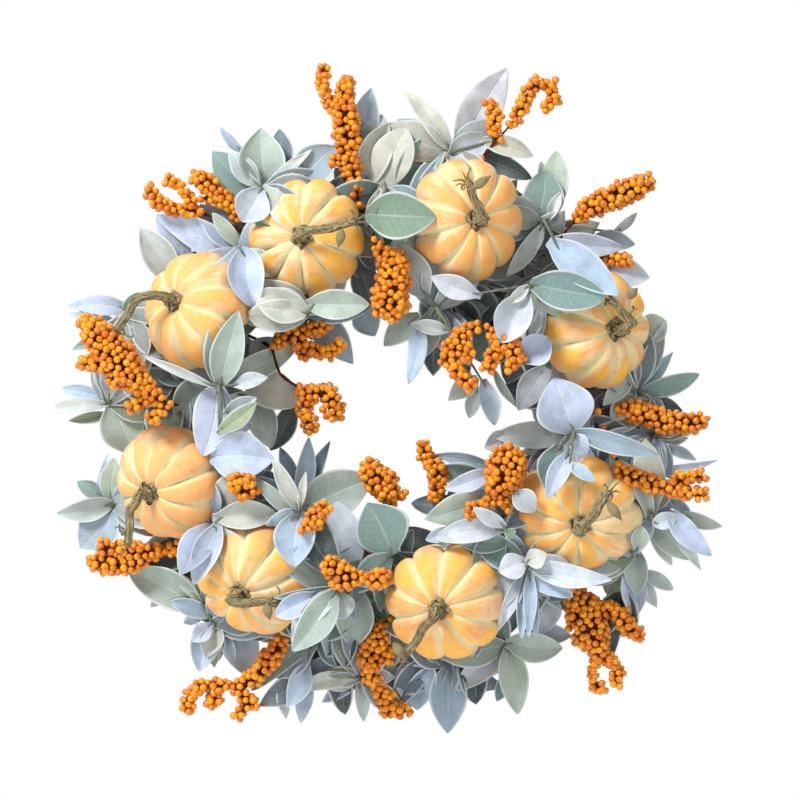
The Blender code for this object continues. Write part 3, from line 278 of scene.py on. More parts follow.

# Dark leaves deep in the gaps, as painted shade: root, tip, width and height for each spray
GAPS = {
    "leaf_spray_inner_top": [(38, 70, 36, 22, 22, 32), (46, 64, 60, 20, 18, 34),
                             (30, 84, 46, 46, 22, 30), (60, 62, 74, 30, 18, 36),
                             (-20, 104, -8, 70, 20, 30), (50, 84, 86, 58, 26, 28),
                             (40, 78, 68, 46, 26, 26), (66, 84, 98, 68, 24, 28)],
    "leaf_spray_top": [(-12, 132, -18, 92, 24, 28), (-16, 140, -10, 100, 20, 30),
                       (12, 130, 24, 92, 24, 30), (4, 128, 6, 84, 20, 34)],
    "leaf_spray_inner_right": [(104, 74, 108, 30, 20, 34), (98, 66, 84, 30, 20, 32),
                               (108, 56, 118, 12, 22, 30), (96, 76, 74, 36, 26, 26),
                               (104, 60, 92, 16, 24, 26)],
    "leaf_spray_lower_right": [(168, -146, 170, -188, 18, 32), (180, -140, 158, -176, 18, 30),
                               (170, -136, 184, -172, 20, 30)],
    "leaf_spray_left_low": [(-140, -104, -180, -122, 22, 30), (-136, -110, -164, -138, 20, 30)],
    "leaf_spray_inner_lower_right": [(82, -62, 42, -50, 18, 30), (84, -60, 48, -70, 18, 32)],
    "leaf_spray_bottom": [(-40, -196, -30, -232, 16, 30), (-50, -200, -92, -226, 18, 30)],
    "leaf_spray_bottom_right": [(60, -186, 68, -224, 20, 30), (34, -190, 6, -228, 18, 30)],
    "leaf_spray_left_gap": [(-140, 20, -176, 26, 18, 32), (-140, 0, -168, -24, 20, 30)],
}

PICKS = ("berry_pick_upper_left", "berry_pick_top", "berry_pick_top_right",
         "berry_pick_right_upper", "berry_pick_left", "berry_pick_inner_left",
         "berry_pick_inner_top", "berry_pick_inner_right", "berry_pick_right",
         "berry_pick_right_low", "berry_pick_lower_right", "berry_pick_inner_lower_right",
         "berry_pick_inner_bottom", "berry_pick_left_gap", "berry_pick_inner_lower_left",
         "berry_pick_bottom_left", "berry_pick_bottom", "berry_pick_lower_left")

# Pumpkins: middle, blush, width and height, offset of the stem, the stem's bends, the ends of its
# tendrils, and its dried leaflet from root to tip where it has one
PUMPKINS = (
    ((-58, 121), 0.15, (0.98, 1.02), (-4, 1), ((-44, 127), (-22, 132)), ((-24, 141),), (-31, 127, -34, 113)),
    ((60, 135), 0.7, (0.96, 1.06), (9, 0), ((68, 146), (60, 163)), ((52, 158),), (64, 156, 78, 166)),
    ((-139, 68), 0.7, (0.98, 1.02), (-18, 7), ((-180, 77), (-197, 52)), ((-184, 43),), None),
    ((-159, -59), 0.95, (0.97, 0.99), (-16, -8), ((-187, -80), (-188, -104)), ((-198, -92),), None),
    ((-96, -130), 0.45, (1.02, 1.00), (-12, -12), ((-92, -147), (-78, -147)), ((-78, -135),),
     (-87, -147, -84, -160)),
    ((45, -148), 0.35, (1.03, 1.01), (-6, -5), ((25, -172), (11, -192)), (), (6, -176, 15, -189)),
    ((143, -83), 0.35, (1.11, 1.00), (0, -9), ((153, -84), (164, -66)), ((161, -60), (170, -64)),
     (163, -73, 174, -87)),
    ((157, 54), 0.1, (0.95, 1.02), (15, 0), ((182, 60), (165, 76)), ((155, 76), (186, 69)),
     (178, 76, 186, 84)),
)


def linear(screen: Sequence[float]) -> tuple:
    """Turn a screen colour, each channel from 0 to 255, into a linear one."""
    shares = [channel / 255 for channel in screen]
    return tuple(s / 12.92 if s <= 0.04045 else ((s + 0.055) / 1.055) ** 2.4 for s in shares)


def spread(across: float, up: float) -> Vector:
    """A point of the layout in metres."""
    return Vector((across, up)) * MM


def world(across: float, up: float, height: float) -> Vector:
    """A point in metres in face coordinates, in the world."""
    return Vector((across, CENTRE_HEIGHT - height, up - DROP))


FACE = Matrix(((1, 0, 0, 0), (0, 0, -1, CENTRE_HEIGHT), (0, 1, 0, -DROP), (0, 0, 0, 1)))


class Signal:
    """One shader socket that can be used in an expression."""

    def __init__(self, shader: "Shader", socket: bpy.types.NodeSocket) -> None:
        """Wrap a socket.

        Args:
            shader: the material that the socket belongs to.
            socket: an output socket.
        """
        self.shader = shader
        self.socket = socket

    def math(self, operation: str, *values: object) -> "Signal":
        """Put this value and others through one Math node.

        Args:
            operation: the Math node's operation.
            values: what follows this value, as numbers or signals.

        Returns:
            The result.
        """
        return self.shader.compute(operation, self, *values)

    def __add__(self, other: object) -> "Signal":
        """Sum."""
        return self.math("ADD", other)

    __radd__ = __add__

    def __mul__(self, other: object) -> "Signal":
        """Product."""
        return self.math("MULTIPLY", other)

    __rmul__ = __mul__

    def __sub__(self, other: object) -> "Signal":
        """Difference."""
        return self.math("SUBTRACT", other)

    def __rsub__(self, other: object) -> "Signal":
        """Difference, the other way round."""
        return self.shader.compute("SUBTRACT", other, self)

    def __abs__(self) -> "Signal":
        """Size without sign."""
        return self.math("ABSOLUTE")

    def between(self, low: float, high: float) -> "Signal":
        """Rise smoothly from 0 at low to 1 at high.

        Args:
            low: where the result is 0.
            high: where the result is 1.

        Returns:
            The eased value.
        """
        node = self.shader.node("ShaderNodeMapRange", {"interpolation_type": "SMOOTHSTEP"},
                                {"Value": self, "From Min": low, "From Max": high})
        return Signal(self.shader, node.outputs["Result"])


class Shader:
    """A material whose nodes are written as expressions."""

    def __init__(self, name: str) -> None:
        """Start a material with one Principled shader.

        Args:
            name: the material's name.
        """
        self.material = bpy.data.materials.new(name)
        self.material.use_nodes = True
        self.tree = self.material.node_tree
        self.surface = self.tree.nodes["Principled BSDF"]

    def node(self, kind: str, settings: Optional[dict] = None,
             sockets: Optional[dict] = None) -> bpy.types.Node:
        """Add a node, set it and feed its sockets.

        Args:
            kind: the node's type.
            settings: its properties.
            sockets: values, signals or sockets by the name or number of the input.

        Returns:
            The node.
        """
        made = self.tree.nodes.new(kind)
        for name, value in (settings or {}).items():
            setattr(made, name, value)
        for name, value in (sockets or {}).items():
            self.feed(made.inputs[name], value)
        return made

    def feed(self, target: bpy.types.NodeSocket, value: object) -> None:
        """Link or set one input.

        Args:
            target: the input socket.
            value: a number, a colour, a signal or a socket.
        """
        if isinstance(value, Signal):
            self.tree.links.new(value.socket, target)
        elif isinstance(value, bpy.types.NodeSocket):
            self.tree.links.new(value, target)
        elif isinstance(value, (tuple, list)) and target.type == "RGBA":
            target.default_value = (*value[:3], 1.0)
        else:
            target.default_value = value

    def compute(self, operation: str, *values: object) -> Signal:
        """One Math node on numbers and signals.

        Args:
            operation: the Math node's operation.
            values: its inputs in order.

        Returns:
            The result.
        """
        sockets = dict(enumerate(values))
        return Signal(self, self.node("ShaderNodeMath", {"operation": operation}, sockets).outputs[0])

    def place(self) -> bpy.types.NodeSocket:
        """Object coordinates in metres."""
        return self.node("ShaderNodeTexCoord").outputs["Object"]

    def stretched(self, scale: Sequence[float], vector: object = None) -> bpy.types.NodeSocket:
        """Coordinates multiplied along each axis.

        Args:
            scale: the factor along each axis.
            vector: the coordinates, or Object coordinates if left out.

        Returns:
            The new coordinates.
        """
        source = self.place() if vector is None else vector
        node = self.node("ShaderNodeMapping", None, {"Vector": source, "Scale": tuple(scale)})
        return node.outputs["Vector"]

    def noise(self, scale: float, detail: float = 3.0, rough: float = 0.55,
              vector: object = None) -> Signal:
        """Soft noise from 0 to 1.

        Args:
            scale: how many bumps to the metre.
            detail: octaves.
            rough: how strong the fine octaves are.
            vector: coordinates, or Object coordinates if left out.

        Returns:
            The noise.
        """
        source = self.place() if vector is None else vector
        node = self.node("ShaderNodeTexNoise", None, {
            "Vector": source, "Scale": scale, "Detail": detail, "Roughness": rough})
        return Signal(self, node.outputs["Fac"])

    def strand(self) -> tuple:
        """The two numbers of the piece's own UV map.

        Returns:
            Across, along, and the map as one socket.
        """
        uv = self.node("ShaderNodeUVMap").outputs["UV"]
        parts = self.node("ShaderNodeSeparateXYZ", None, {"Vector": uv})
        return Signal(self, parts.outputs["X"]), Signal(self, parts.outputs["Y"]), uv

    def painted(self, name: str) -> bpy.types.Node:
        """The piece's own attribute."""
        return self.node("ShaderNodeAttribute", {"attribute_name": name})

    def mix(self, factor: object, first: object, second: object,
            blend: str = "MIX") -> bpy.types.NodeSocket:
        """Mix two colours.

        Args:
            factor: how much of the second.
            first: the first colour.
            second: the second colour.
            blend: how they combine.

        Returns:
            The mixed colour.
        """
        settings = {"data_type": "RGBA", "blend_type": blend, "clamp_factor": True}
        return self.node("ShaderNodeMix", settings, {0: factor, 6: first, 7: second}).outputs[2]

    def finish(self, colour: object, roughness: object, height: object = None,
               depth: float = 0.0004, **constants: float) -> bpy.types.Material:
        """Feed the surface.

        Args:
            colour: base colour.
            roughness: roughness.
            height: what the bump follows, if there is one.
            depth: the bump's depth in metres.
            constants: other numbers of the shader, with _ for a space.

        Returns:
            The material.
        """
        self.feed(self.surface.inputs["Base Color"], colour)
        self.feed(self.surface.inputs["Roughness"], roughness)
        if height is not None:
            bump = self.node("ShaderNodeBump", None, {"Height": height, "Distance": depth,
                                                      "Strength": 0.8})
            self.feed(self.surface.inputs["Normal"], bump.outputs["Normal"])
        for name, value in constants.items():
            self.surface.inputs[name.replace("_", " ")].default_value = value
        return self.material


@dataclass(frozen=True)
class Felt:
    """Soft felt with a pale fuzzy edge, a pressed midrib, faint side veins and painted shade towards the root.
    """

    edge: tuple = (208, 214, 215)
    cloud: tuple = (120, 134, 128)
    pit: tuple = (104, 118, 110)
    fuzz_per_metre: float = 1500.0

    def dress(self) -> bpy.types.Material:
        """Make the material.

        Returns:
            The material.
        """
        s = Shader("felt")
        u, v, _ = s.strand()
        out = abs(u * 2 - 1)
        tone = s.painted("tone").outputs["Color"]
        grain = s.noise(520, 5.0, 0.7)
        patch = s.noise(70, 2.0)
        fuzz = s.noise(self.fuzz_per_metre, 2.0, 0.7)
        veins = ((v * 9 - out * 1.7) * math.tau).math("SINE").between(0.86, 1.0)
        veins = veins * (1 - out.between(0.55, 0.95)) * (1 - v.between(0.75, 0.95))
        rib = (1 - out.between(0.015, 0.075)) * (1 - v.between(0.80, 1.0))
        rim = (out + (fuzz - 0.5) * 0.10).between(0.86, 0.97)
        shade = s.mix(patch.between(0.35, 0.70) * 0.36, tone, linear(self.cloud))
        # Painted shade: the blade is darker towards its root, where it lies under the other blades.
        shade = s.mix((1 - v.between(0.0, 0.35)) * 0.35, shade, (0.35, 0.42, 0.36), "MULTIPLY")
        shade = s.mix(grain.between(0.48, 0.74) * 0.20, shade, (0.66, 0.70, 0.70))
        shade = s.mix((1 - grain.between(0.28, 0.48)) * 0.30, shade, linear(self.pit))
        shade = s.mix(veins * 0.07 + rib * 0.20, shade, (0.72, 0.76, 0.72))
        shade = s.mix(rim * 0.70, shade, linear(self.edge))
        height = fuzz * 0.55 + grain * 0.5 - rib * 0.9 - veins * 0.35
        return s.finish(shade, 0.92, height, 0.00035, Sheen_Weight=0.25, Sheen_Roughness=0.6,
                        Specular_IOR_Level=0.2)


@dataclass(frozen=True)
class PaintedRind:
    """Hand-painted rind: gold and orange lobes, cream grooves, a few brown specks."""

    gold: tuple = (244, 184, 66)
    orange: tuple = (230, 156, 86)
    peach: tuple = (232, 180, 138)
    cream: tuple = (224, 212, 164)
    groove_green_and_shade: tuple = (166, 150, 102)
    flush: tuple = (240, 172, 116)
    ember: tuple = (206, 116, 48)
    husk: tuple = (196, 158, 92)
    fleck: tuple = (120, 74, 36)

    def dress(self) -> bpy.types.Material:
        """Make the material.

        Returns:
            The material.
        """
        s = Shader("painted_rind")
        rib = Signal(s, s.painted("rib").outputs["Fac"])
        pole = Signal(s, s.painted("pole").outputs["Fac"])
        _, _, uv = s.strand()
        brushed = s.noise(1.0, 4.0, 0.6, s.stretched((46, 5, 1), uv))
        patch = s.noise(30, 5.0, 0.6)
        blot = s.noise(52, 4.0, 0.6)
        speck = s.noise(330, 2.0, 0.5)
        flesh = s.mix(blot.between(0.42, 0.62), linear(self.cream), linear(self.peach))
        glow = s.mix(patch.between(0.42, 0.60), linear(self.gold), linear(self.orange))
        blush = Signal(s, s.painted("blush").outputs["Fac"])
        glow = s.mix(blush * (0.45 + brushed * 0.75), glow, linear(self.flush))
        worn = rib * 0.42 + (patch - 0.5) * 2.2 + (brushed - 0.5) * 1.2 + pole * 0.25
        worn = worn + (s.noise(7.0, 1.0) - 0.5) * 1.0
        colour = s.mix(worn.between(0.02, 0.46) * 0.82, glow, flesh)
        seam = (rib + (brushed - 0.5) * 0.34).between(0.54, 0.92)
        colour = s.mix(seam * 0.85, colour, linear(self.cream))
        colour = s.mix(s.noise(160, 5.0, 0.7).between(0.50, 0.72) * 0.30, colour,
                       linear(self.cream))
        colour = s.mix((1 - s.noise(110, 5.0, 0.7).between(0.30, 0.46)) * 0.28, colour,
                       linear(self.ember))
        # Partly the green-brown paint of the grooves, partly painted shade darkening the deepest crease of each
        # groove.
        colour = s.mix((rib + (blot - 0.5) * 0.3).between(0.93, 1.0) * 0.55, colour,
                       linear(self.groove_green_and_shade))
        colour = s.mix(pole.between(0.45, 1.0) * 0.55, colour, linear(self.husk))
        colour = s.mix(speck.between(0.735, 0.79) * 0.55, colour, linear(self.fleck))
        height = brushed * 0.5 + s.noise(150, 4.0) * 0.7 + speck * 0.2
        rough = 0.52 + blot * 0.26
        return s.finish(colour, rough, height, 0.0006, Specular_IOR_Level=0.35,
                        Subsurface_Weight=0.0)


@dataclass(frozen=True)
class Bark:
    """Streaked woody fibre that runs along the piece."""

    name: str
    dark: tuple
    light: tuple
    streaks: float = 9.0

    def dress(self) -> bpy.types.Material:
        """Make the material.

        Returns:
            The material.
        """
        s = Shader(self.name)
        _, _, uv = s.strand()
        fibre = s.noise(1.0, 5.0, 0.65, s.stretched((self.streaks, 22, 1), uv))
        blot = s.noise(90, 3.0)
        fine = s.noise(1400, 2.0)
        colour = s.mix(fibre.between(0.32, 0.68), linear(self.dark), linear(self.light))
        colour = s.mix(blot.between(0.55, 0.8) * 0.5, colour, linear(self.dark))
        height = fibre + fine * 0.3
        return s.finish(colour, 0.75 + blot * 0.2, height, 0.0009, Specular_IOR_Level=0.25)


@dataclass(frozen=True)
class Glaze:
    """Glossy lacquered berries, each with a dark spot at its end."""

    bright: tuple = (242, 158, 12)
    deep: tuple = (206, 108, 2)
    spot: tuple = (78, 34, 12)

    def dress(self) -> bpy.types.Material:
        """Make the material.

        Returns:
            The material.
        """
        s = Shader("berry_glaze")
        spot = Signal(s, s.painted("spot").outputs["Fac"])
        colour = s.mix(s.noise(130, 2.0).between(0.35, 0.68), linear(self.deep), linear(self.bright))
        colour = s.mix(s.noise(900, 3.0).between(0.60, 0.80) * 0.35, colour, linear(self.deep))
        colour = s.mix(spot.between(0.45, 0.85) * 0.8, colour, linear(self.spot))
        rough = 0.24 + s.noise(400, 2.0) * 0.16
        return s.finish(colour, rough, s.noise(700, 2.0), 0.0002, Coat_Weight=0.25,
                        Coat_Roughness=0.15)


@dataclass(frozen=True)
class Wire:
    """Dark annealed wire with a little rust."""

    steel: tuple = (92, 88, 84)
    rust: tuple = (112, 66, 40)

    def dress(self) -> bpy.types.Material:
        """Make the material.

        Returns:
            The material.
        """
        s = Shader("annealed_wire")
        rust = s.noise(500, 4.0).between(0.52, 0.72)
        colour = s.mix(rust * 0.7, linear(self.steel), linear(self.rust))
        return s.finish(colour, 0.35 + rust * 0.4, s.noise(2400, 2.0), 0.0001, Metallic=0.85)


@dataclass(frozen=True)
class Plaster:
    """The pale floor."""

    def dress(self) -> bpy.types.Material:
        """Make the material.

        Returns:
            The material.
        """
        s = Shader("pale_floor")
        colour = s.mix(s.noise(3.0) * 0.2, (0.86, 0.86, 0.86), (0.80, 0.80, 0.81))
        return s.finish(colour, 0.85)


def to_piece(bm: bmesh.types.BMesh, name: str, material: bpy.types.Material) -> bpy.types.Object:
    """Turn a bmesh into a smooth piece at the origin.

    Args:
        bm: the shape, in world coordinates; it is freed.
        name: the piece's name.
        material: its finish.

    Returns:
        The piece.
    """
    mesh = bpy.data.meshes.new(name)
    bm.to_mesh(mesh)
    bm.free()
    mesh.shade_smooth()
    mesh.materials.append(material)
    piece = bpy.data.objects.new(name, mesh)
    bpy.context.scene.collection.objects.link(piece)
    return piece


def register(piece: bpy.types.Object, body: str, nodes: Iterable[str]) -> None:
    """Put a piece on its body.

    Args:
        piece: the piece.
        body: the body it moves with.
        nodes: the CAD nodes it stands for.
    """
    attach(piece, body)
    for node in nodes:
        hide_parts(node)
    LOG.info("%s: %d faces", piece.name, len(piece.data.polygons))


def smooth_path(points: Sequence[Vector], count: int) -> list:
    """A smooth line through the points.

    Args:
        points: what it passes through.
        count: how many points it gets.

    Returns:
        Evenly parted points of the line.
    """
    ends = [2 * points[0] - points[1], *points, 2 * points[-1] - points[-2]]
    line = []
    for step in range(count):
        t = step / (count - 1) * (len(points) - 1)
        index = min(int(t), len(points) - 2)
        f = t - index
        a, b, c, d = ends[index:index + 4]
        line.append(0.5 * (2 * b + (c - a) * f + (2 * a - 5 * b + 4 * c - d) * f * f
                           + (3 * b - a - 3 * c + d) * f ** 3))
    return line


def sweep(path: Sequence[Vector], radius: Callable, sides: int = 10) -> bmesh.types.BMesh:
    """Drive a ring along a path and close its ends.

    Args:
        path: the centre line.
        radius: gives the radius from the share along and the turn round the ring.
        sides: points in the ring.

    Returns:
        The tube, with a UV map that follows it.
    """
    bm = bmesh.new()
    turn = bm.verts.layers.float.new("turn")
    along = bm.verts.layers.float.new("along")
    ring = bmesh.ops.create_circle(bm, segments=sides, radius=1)["verts"]
    for index, vertex in enumerate(ring):
        vertex[turn] = index / sides
    edges = bm.edges[:]
    first = edges
    normal = Vector((0.31, 0.17, 0.93))
    for step, centre in enumerate(path):
        ahead = path[min(step + 1, len(path) - 1)] - path[max(step - 1, 0)]
        ahead.normalize()
        normal = (normal - ahead * normal.dot(ahead)).normalized()
        other = ahead.cross(normal)
        if step:
            grown = bmesh.ops.extrude_edge_only(bm, edges=edges)["geom"]
            ring = [item for item in grown if isinstance(item, bmesh.types.BMVert)]
            fresh = set(ring)
            edges = [item for item in grown if isinstance(item, bmesh.types.BMEdge)
                     and set(item.verts) <= fresh]
        share = step / (len(path) - 1)
        for vertex in ring:
            angle = vertex[turn] * math.tau
            reach = radius(share, angle)
            vertex.co = centre + (normal * math.cos(angle) + other * math.sin(angle)) * reach
            vertex[along] = share
    bmesh.ops.edgeloop_fill(bm, edges=first)
    bmesh.ops.edgeloop_fill(bm, edges=edges)
    uv = bm.loops.layers.uv.new("UVMap")
    for face in bm.faces:
        turns = [loop.vert[turn] for loop in face.loops]
        wraps = max(turns) - min(turns) > 0.6
        for loop in face.loops:
            shift = 1.0 if wraps and loop.vert[turn] < 0.5 else 0.0
            loop[uv].uv = (loop.vert[turn] + shift, loop.vert[along])
    bmesh.ops.recalc_face_normals(bm, faces=bm.faces[:])
    return bm


def gather(target: bmesh.types.BMesh, source: bmesh.types.BMesh) -> None:
    """Add one bmesh to another and free it.

    Args:
        target: what is added to.
        source: what is added; it is freed.
    """
    mesh = bpy.data.meshes.new("part")
    source.to_mesh(mesh)
    source.free()
    target.from_mesh(mesh)
    bpy.data.meshes.remove(mesh)


def node_points(node: str) -> np.ndarray:
    """The CAD node's vertices in face coordinates, in metres.

    Args:
        node: the node's name.

    Returns:
        A row of across, up and height for each vertex.
    """
    mesh = frame["nodes"][node].data
    flat = np.empty(len(mesh.vertices) * 3)
    mesh.vertices.foreach_get("co", flat)
    found = flat.reshape(-1, 3)
    turned = np.array([FACE.inverted() @ Vector(point) for point in found])
    return turned


@dataclass
class Blade:
    """One felt leaf of a spray, with its stalk."""

    riser: Vector
    root: Vector
    tip: Vector
    width: float
    rise: float
    tone: Tone
    number: int
    lift: float = 0.0

    def frame(self) -> tuple:
        """Heading, side, length and cant of the blade.

        Returns:
            The heading and the side as unit vectors, the length, and the cant in radians.
        """
        heading = (self.tip - self.root).normalized()
        side = Vector((-heading.y, heading.x))
        return heading, side, (self.tip - self.root).length, BLADE_CANT * math.sin(2.4 * self.number)

    def settle(self, points: np.ndarray) -> bool:
        """Find the height at which the CAD blade lies.

        Args:
            points: the CAD node's vertices in face coordinates.

        Returns:
            Whether it was found.
        """
        heading, side, length, cant = self.frame()
        slim = self.width < 13 * MM
        outline = ((0.45, 0.46), (1.0, 0.10)) if slim else ((0.25, 0.42), (0.62, 0.46), (1.0, 0.10))
        votes = []
        for along, share in outline:
            half = share * self.width * math.cos(cant)
            for hand in (-1, 1):
                spot = self.root + heading * (along * length) + side * (half * hand)
                near = np.hypot(points[:, 0] - spot.x, points[:, 1] - spot.y) < 0.00006
                offset = self.rise * length * along + half * math.tan(cant) * hand
                votes.extend(points[near][:, 2] - offset)
        if not votes:
            return False
        votes = np.array(votes)
        support = [(np.abs(votes - vote) < 0.00008).sum()
                   + (np.abs(votes - vote - 0.0012) < 0.00008).sum() for vote in votes]
        self.lift = float(votes[int(np.argmax(support))])
        return True

    def grow(self, rng: random.Random, across: int = 8, along: int = 16,
             shade: float = 1.0) -> bmesh.types.BMesh:
        """Shape the blade: an oval sheet with a fold, a bow, a curl and a rippled edge.

        Args:
            rng: the source of chance.
            across: faces across.
            along: faces along.
            shade: how bright its tone is; the inner and gap leaves are darkened by it as painted shade.

        Returns:
            The sheet, with its UV map and its tone.
        """
        heading, side, length, cant = self.frame()
        bm = bmesh.new()
        uv = bm.loops.layers.uv.new("UVMap")
        bmesh.ops.create_grid(bm, x_segments=across, y_segments=along, size=1,
                              calc_uvs=True)
        tone = bm.verts.layers.float_color.new("tone")
        tint = rng.uniform(0.88, 1.10) * shade
        colour = Vector(linear(self.tone.value)) * tint
        warm = rng.uniform(-0.03, 0.03)
        peak = rng.uniform(0.76, 1.06)
        blunt = rng.uniform(0.62, 0.92)
        back = min(0.18, (self.root - self.riser).length / length)
        fold = rng.uniform(0.16, 0.55)
        roll = rng.uniform(-0.10, 0.42)
        bow = rng.uniform(0.03, 0.14) * length
        curl = rng.uniform(-0.05, 0.16) * length
        sway = rng.uniform(-0.05, 0.05) * length
        ripple = rng.uniform(0.3, 1.1) * MM
        phase = rng.uniform(0, math.tau)
        for vertex in bm.verts:
            x = vertex.co.x
            s = (vertex.co.y + 1) / 2
            outline = max(math.sin(math.pi * min(0.999, s ** peak)), 0.0) ** blunt
            half = 0.585 * self.width * max(outline, 0.30 * (1 - s) ** 2, 0.02)
            s = s * (1.05 + back) - back
            off = half * x
            spot = self.root + heading * (s * length) + side * (off * math.cos(cant)
                                                                + sway * math.sin(math.pi * max(s, 0)))
            height = self.lift + 0.0006 + self.rise * length * s + off * math.sin(cant)
            height += (fold * abs(off) + roll * half * x ** 4 + bow * 4 * s * (1 - s) * 0.5
                       - curl * max(s, 0) ** 3)
            height += ripple * x * x * math.sin(math.tau * 1.6 * s + phase + 1.3 * x)
            vertex.co = world(spot.x, spot.y, height)
            # Painted shade: the tone darkens a little towards the root.
            deep = 0.92 + 0.08 * s
            vertex[tone] = (colour.x * deep * (1 + warm), colour.y * deep,
                            colour.z * deep * (1 - warm), 1.0)
        return bm

    def stalk(self) -> bmesh.types.BMesh:
        """The stalk, from the riser to about a fifth of the way up the blade.

        Returns:
            The stalk.
        """
        heading, _, length, _ = self.frame()
        ends = [(self.riser, 0.0), (self.root.lerp(self.riser, 0.5), 0.0012),
                (self.root, 0.0006), (self.root + heading * length * 0.22, 0.001)]
        ends = [pair for index, pair in enumerate(ends)
                if index != 1 or (self.root - self.riser).length > 0.006]
        path = [world(spot.x, spot.y, self.lift + rise + 0.0003) for spot, rise in ends]
        return sweep(smooth_path(path, 9), lambda share, _: (1.25 - 0.75 * share) * MM, 6)


class Layout:
    """What leaves, berries and pumpkins cover, seen from the front."""

    def __init__(self) -> None:
        """Gather the CAD nodes that show."""
        bm = bmesh.new()
        for name, node in frame["nodes"].items():
            if name.startswith(("leaf", "berry", "pumpkin")):
                bm.from_mesh(node.data)
        self.tree = BVHTree.FromBMesh(bm)
        bm.free()

    def hit(self, point: Vector, way: float) -> bool:
        """Whether something lies in front of a point (way -1) or behind it (way 1)."""
        return self.tree.ray_cast(point, Vector((0, way, 0)))[0] is not None

    def sides(self, point: Vector, reach: float) -> int:
        """On how many of eight sides there is foliage at this distance.

        Args:
            point: the point, in the world.
            reach: the distance.

        Returns:
            The number of sides.
        """
        turns = [step * math.tau / 8 for step in range(8)]
        return sum(self.hit(Vector((point.x + reach * math.cos(turn), -0.4,
                                    point.z + reach * math.sin(turn))), 1) for turn in turns)

    def inside(self, point: Vector) -> bool:
        """Whether a point lies within the wreath's outline."""
        return self.sides(point, 0.012) >= 5 or self.sides(point, 0.022) >= 7

    def takes(self, samples: Iterable[Vector]) -> bool:
        """Whether a leaf may lie here without hiding a leaf, berry or pumpkin.

        Args:
            samples: points of the leaf in the world.

        Returns:
            Whether nearly every point is free.
        """
        bad = 0
        for point in samples:
            if not self.hit(point, -1) and (self.hit(point, 1) or not self.inside(point)):
                bad += 1
        return bad <= 1


